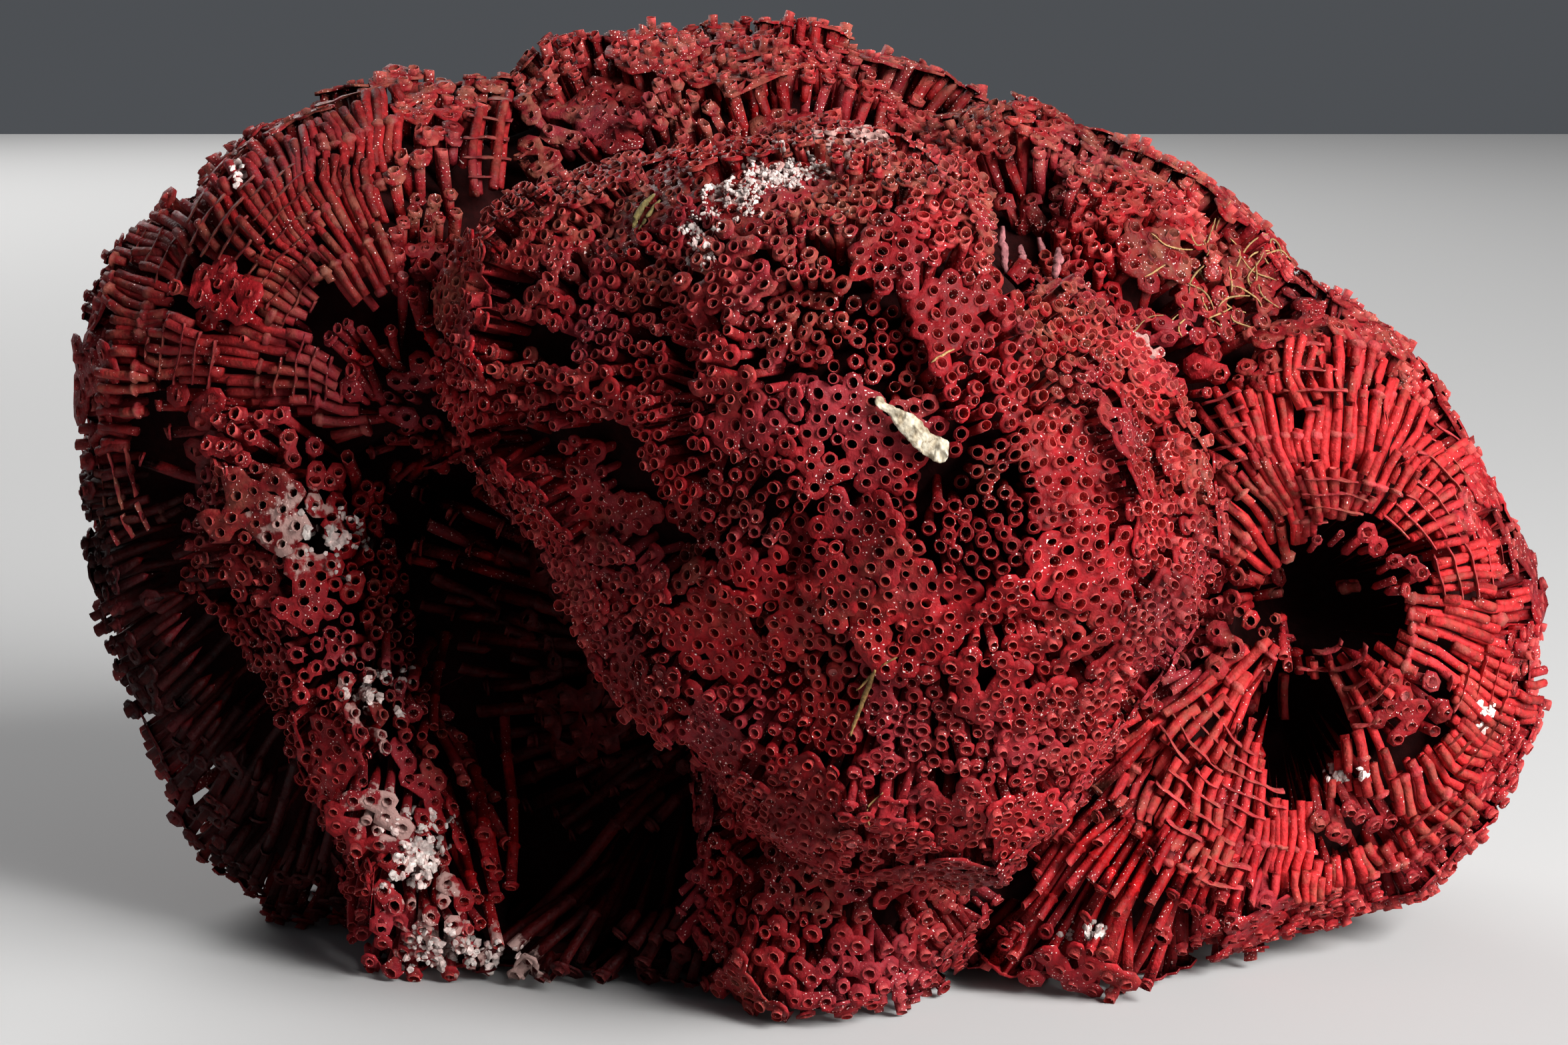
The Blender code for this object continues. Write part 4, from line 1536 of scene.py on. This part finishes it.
def smooth_route(points, step):
    """Points a step apart on a smooth curve through a few points."""
    points = np.array(points)
    for _ in range(4):
        middle = points[1:-1] * 0.5 + (points[:-2] + points[2:]) * 0.25
        points = np.concatenate([points[:1], middle, points[-1:]])
        halves = (points[:-1] + points[1:]) / 2.0
        mixed = np.empty((len(points) + len(halves), 3))
        mixed[0::2], mixed[1::2] = points, halves
        points = mixed
    run = np.concatenate([[0.0], np.cumsum(np.linalg.norm(np.diff(points, axis=0), axis=1))])
    wanted = np.linspace(0.0, run[-1], max(int(run[-1] / step), 6))
    return np.stack([np.interp(wanted, run, points[:, axis]) for axis in range(3)], -1)


def fibre_rings(route, thickness, draw):
    """Rings of a thin crooked tube along a route."""
    heading = unit(np.gradient(route, axis=0))
    across, along = pipe_frames(heading)
    taper = np.sin(np.linspace(0.12, math.pi - 0.12, len(route))) ** 0.4
    radius = thickness / 2.0 * taper * draw.uniform(0.8, 1.2, len(route))
    circles = circle_points(across, along, circle_angles(FIBRE_SIDES))
    return route[:, None] + circles * radius[:, None, None]


def lay_route(skin, pixels, lift):
    """A route over the coral's near side, bridging the gaps between its pipes."""
    found = [skin.at_pixel(u, v)[0] for u, v in pixels]
    depths = np.array([np.dot(place - CAMERA_PLACE, CAMERA_AXIS) for place in found])
    near = np.minimum(depths, np.median(depths) + 0.8)
    rays = [(place - CAMERA_PLACE) * (want / depth) for place, want, depth in zip(found, near, depths)]
    return [CAMERA_PLACE + ray - CAMERA_AXIS * lift for ray in rays]


def grain_shape():
    """Corners and faces of an icosahedron."""
    shape = bmesh.new()
    bmesh.ops.create_icosphere(shape, subdivisions=1, radius=1.0)
    corners = np.array([corner.co[:] for corner in shape.verts])
    faces = np.array([[corner.index for corner in face.verts] for face in shape.faces])
    shape.free()
    return corners, faces


def build_grains(skin, material):
    """Crusts of small uneven grains, set on the coral where the photo shows them."""
    draw = np.random.default_rng(500)
    corners, faces = grain_shape()
    for name, node, sizes, count, stretches in GRAIN_CRUSTS:
        shares = np.array([wide * tall for _, _, wide, tall in stretches], float)
        points, loops, colours = [], [], []
        for number in range(count):
            if number % GRAINS_A_LUMP == 0:
                u, v, wide, tall = stretches[draw.choice(len(stretches), p=shares / shares.sum())]
                lump = np.array((u, v)) + draw.normal(0.0, 0.5, 2) * (wide, tall)
                lump_tone = draw.uniform(0.55, 1.0)
            spot = lump + draw.normal(0.0, GRAIN_SPREAD, 2) * sizes[1]
            place, normal = skin.at_pixel(*spot)
            if place is None or np.dot(place - CAMERA_PLACE, CAMERA_AXIS) > FARTHEST_GRAIN:
                continue
            across, along = pipe_frames(normal[None])
            frame_of = np.stack([across[0], along[0], normal * 0.7]) * draw.uniform(0.65, 1.5, (3, 1))
            size = draw.uniform(*sizes) * draw.uniform(0.7, 1.0)
            shape = corners * draw.uniform(0.75, 1.25, (len(corners), 1)) * size
            loops.append((faces + len(points) * len(corners)).reshape(-1))
            points.append(place + shape @ frame_of)
            tone = lump_tone * draw.uniform(0.8, 1.1)
            pink = draw.uniform(0.0, 0.5)
            colour = (GRAIN * (1.0 - pink) + GRAIN * (0.9, 0.5, 0.5) * pink) * tone
            colours.append(np.broadcast_to(colour, (len(corners), 3)))
        for grain in points:
            grain[:, 2] = np.maximum(grain[:, 2], 0.0)
        totals = [np.full(len(faces) * len(loops), 3)]
        masks = [np.zeros((len(corners) * len(points), 3))]
        crust = mesh_object(name, points, loops, totals, colours, masks)
        crust.data.set_sharp_from_angle(angle=GRAIN_BEND)
        finish_piece(crust, material, node)


def build_net(skin, material):
    """Thin crossing threads over one stretch of the coral."""
    draw = np.random.default_rng(510)
    (left, top), (right, bottom) = NET_AREA
    threads = Tubes()
    for _ in range(NET_THREADS):
        spot = np.array((draw.uniform(left, right), draw.uniform(top, bottom)))
        turn = draw.uniform(0.0, math.tau)
        pixels = [spot]
        for _ in range(draw.integers(3, 7)):
            turn += draw.normal(0.0, 0.9)
            pixels.append(pixels[-1] + NET_STEP * np.array((math.cos(turn), math.sin(turn))))
        pixels = [spot for spot in pixels if skin.at_pixel(*spot)[0] is not None]
        if len(pixels) < 3:
            continue
        route = smooth_route(lay_route(skin, pixels, 0.2), FIBRE_STEP)
        rings = fibre_rings(route, NET_THICKNESS, draw)
        threads.add(rings, NET * draw.uniform(0.7, 1.2))
    finish_piece(threads.mesh("thread_net"), material, "right_rear_lobe")


def build_posts(skin, material):
    """Lumpy pink posts that stand in the hole beside the front lobe's top."""
    draw = np.random.default_rng(520)
    for number, (top, foot) in enumerate(POSTS):
        foot_place = skin.at_pixel(*foot)[0]
        distance = np.dot(foot_place - CAMERA_PLACE, CAMERA_AXIS)
        top_ray = skin.pixel_ray(*top)
        top_place = CAMERA_PLACE + top_ray * (distance + 2.0) / np.dot(top_ray, CAMERA_AXIS)
        share = np.linspace(0.0, 1.0, 5)[:, None]
        start = foot_place - CAMERA_AXIS * -0.8
        route = smooth_route(start + (top_place - foot_place) * share, FIBRE_STEP)
        route = route + 0.5 * noise_vectors(route, 3.0, 530)
        lumps = noise_vectors(route[:, None] + np.zeros((1, FIBRE_SIDES, 1)), 1.2, 531)
        rings = fibre_rings(route, POST_THICKNESS, draw) + 0.25 * lumps
        tone = np.clip(1.0 + 0.4 * smooth_noise(rings, 1.5, 532), 0.4, 1.6)
        post = tube_object(f"pink_post_{number + 1}", rings, POST_COLOUR * tone[..., None])
        finish_piece(post, material, "right_rear_lobe")


def build_fibres(skin, material):
    """Single dry fibres and shreds that lie on the front lobe."""
    draw = np.random.default_rng(400)
    for name, colour, thickness, pixels in FIBRES:
        route = smooth_route(lay_route(skin, pixels, thickness * 0.7), FIBRE_STEP)
        route = route + 0.12 * noise_vectors(route, 1.3, 410)
        rings = fibre_rings(route, thickness, draw)
        tone = np.clip(1.0 + 0.35 * smooth_noise(rings, 0.9, 420), 0.4, 1.5)
        fibre = tube_object(name, rings, colour * tone[..., None])
        finish_piece(fibre, material, "front_lobe")


# Build

def finish_piece(piece, material, node):
    """Give a piece its material, and its place in the object."""
    piece.data.materials.append(material)
    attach(piece, "root")
    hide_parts(node)


def build_pipes():
    """The pipes of every lobe, the side-on pipes and, below them, the dark mass."""
    flanks = [Flank(*row) for row in FLANKS]
    names = list(LOBES)
    corners, faces, owners = solid_faces(names)
    solids = BVHTree.FromPolygons(corners, faces)
    low = np.min(np.array(corners), 0)
    high = np.max(np.array(corners), 0)
    form = Form(outer_form_tree(corners, faces), low, high)
    material = coral_material()
    pieces = []

    def owner_of(points):
        """The lobe whose solid is nearest to each point."""
        return np.array([owners[solids.find_nearest(point)[2]] for point in points.tolist()])

    for number, name in enumerate(names):
        lobe = LOBES[name]
        draw = np.random.default_rng(100 + number)
        grown = grow(form, lobe, lambda points: owner_of(points) == name, draw)
        pipes = dress_pipes(form, name, lobe, flanks, grown, draw)
        for title, batches in lobe_batches(pipes, lobe, draw):
            piece = mesh_of(name + "_pipes" + title, batches)
            finish_piece(piece, material, name)
            pieces.append(piece)
    for number, flank in enumerate(flanks):
        draw = np.random.default_rng(300 + number)
        piece = flank_mesh(flank.lobe + "_side_pipes", form, flank, owner_of, draw)
        finish_piece(piece, material, flank.lobe)
        pieces.append(piece)
    finish_piece(deep_mass(corners, faces), material, "base_mass")
    return pieces


# Lights: name, place, size, power and what they aim at, in metres and watts
LIGHTS = [
    ("key", (0.88, -0.85, 0.85), 0.6, 39.0, (0.0, 0.0, 0.07)),
    ("side", (1.0, -0.75, 0.3), 1.0, 21.0, (0.08, 0.0, 0.05)),
    ("back", (-0.7, 1.5, 1.1), 1.4, 30.0, (0.0, 0.0, 0.07)),
]
FLOOR_SIZE = 4.0
FLOOR_COLOUR = (0.46, 0.455, 0.45, 1.0)
SKY_COLOUR = (0.75, 0.80, 0.88, 1.0)
SKY_STRENGTH = 0.10


def make_studio():
    """A plain pale floor, and three soft lights under a faint sky."""
    bpy.ops.mesh.primitive_plane_add(size=FLOOR_SIZE)
    floor = bpy.context.object
    floor.name = "floor"
    made = Shading("pale_floor", 0.1, 0.9)
    made.feed(made.inputs["Base Color"], FLOOR_COLOUR)
    floor.data.materials.append(made.material)
    world = bpy.context.scene.world or bpy.data.worlds.new("studio")
    bpy.context.scene.world = world
    world.use_nodes = True
    background = world.node_tree.nodes["Background"]
    background.inputs["Color"].default_value = SKY_COLOUR
    background.inputs["Strength"].default_value = SKY_STRENGTH
    for name, place, size, power, target in LIGHTS:
        light = bpy.data.lights.new(name, "AREA")
        light.size = size
        light.energy = power
        lamp = bpy.data.objects.new(name, light)
        lamp.location = place
        lamp.rotation_euler = (Vector(target) - Vector(place)).to_track_quat("-Z", "Y").to_euler()
        bpy.context.scene.collection.objects.link(lamp)


def make_colours_plain():
    """Show colours as they are, without a film look."""
    bpy.context.scene.view_settings.view_transform = "Standard"


def make_camera():
    """The camera at the photograph's angle and distance."""
    data = bpy.data.cameras.new("camera")
    data.lens = LENS
    data.sensor_width = SENSOR
    camera = bpy.data.objects.new("camera", data)
    camera.location = CAMERA_PLACE * MM
    camera.rotation_euler = (math.radians(90.0) - CAMERA_ELEVATION, 0.0, 0.0)
    bpy.context.scene.collection.objects.link(camera)
    bpy.context.scene.camera = camera


SKIN = Skin(build_pipes())
build_chip(coat_material("shell_chip_cream", 900.0, 0.75))
DRY_FIBRE = coat_material("dry_fibre", 1500.0, 0.8)
PALE_CRUST = coat_material("pale_crust", 1100.0, 0.85)
build_fibres(SKIN, DRY_FIBRE)
build_net(SKIN, DRY_FIBRE)
build_grains(SKIN, PALE_CRUST)
build_posts(SKIN, PALE_CRUST)
make_studio()
make_colours_plain()
make_camera()
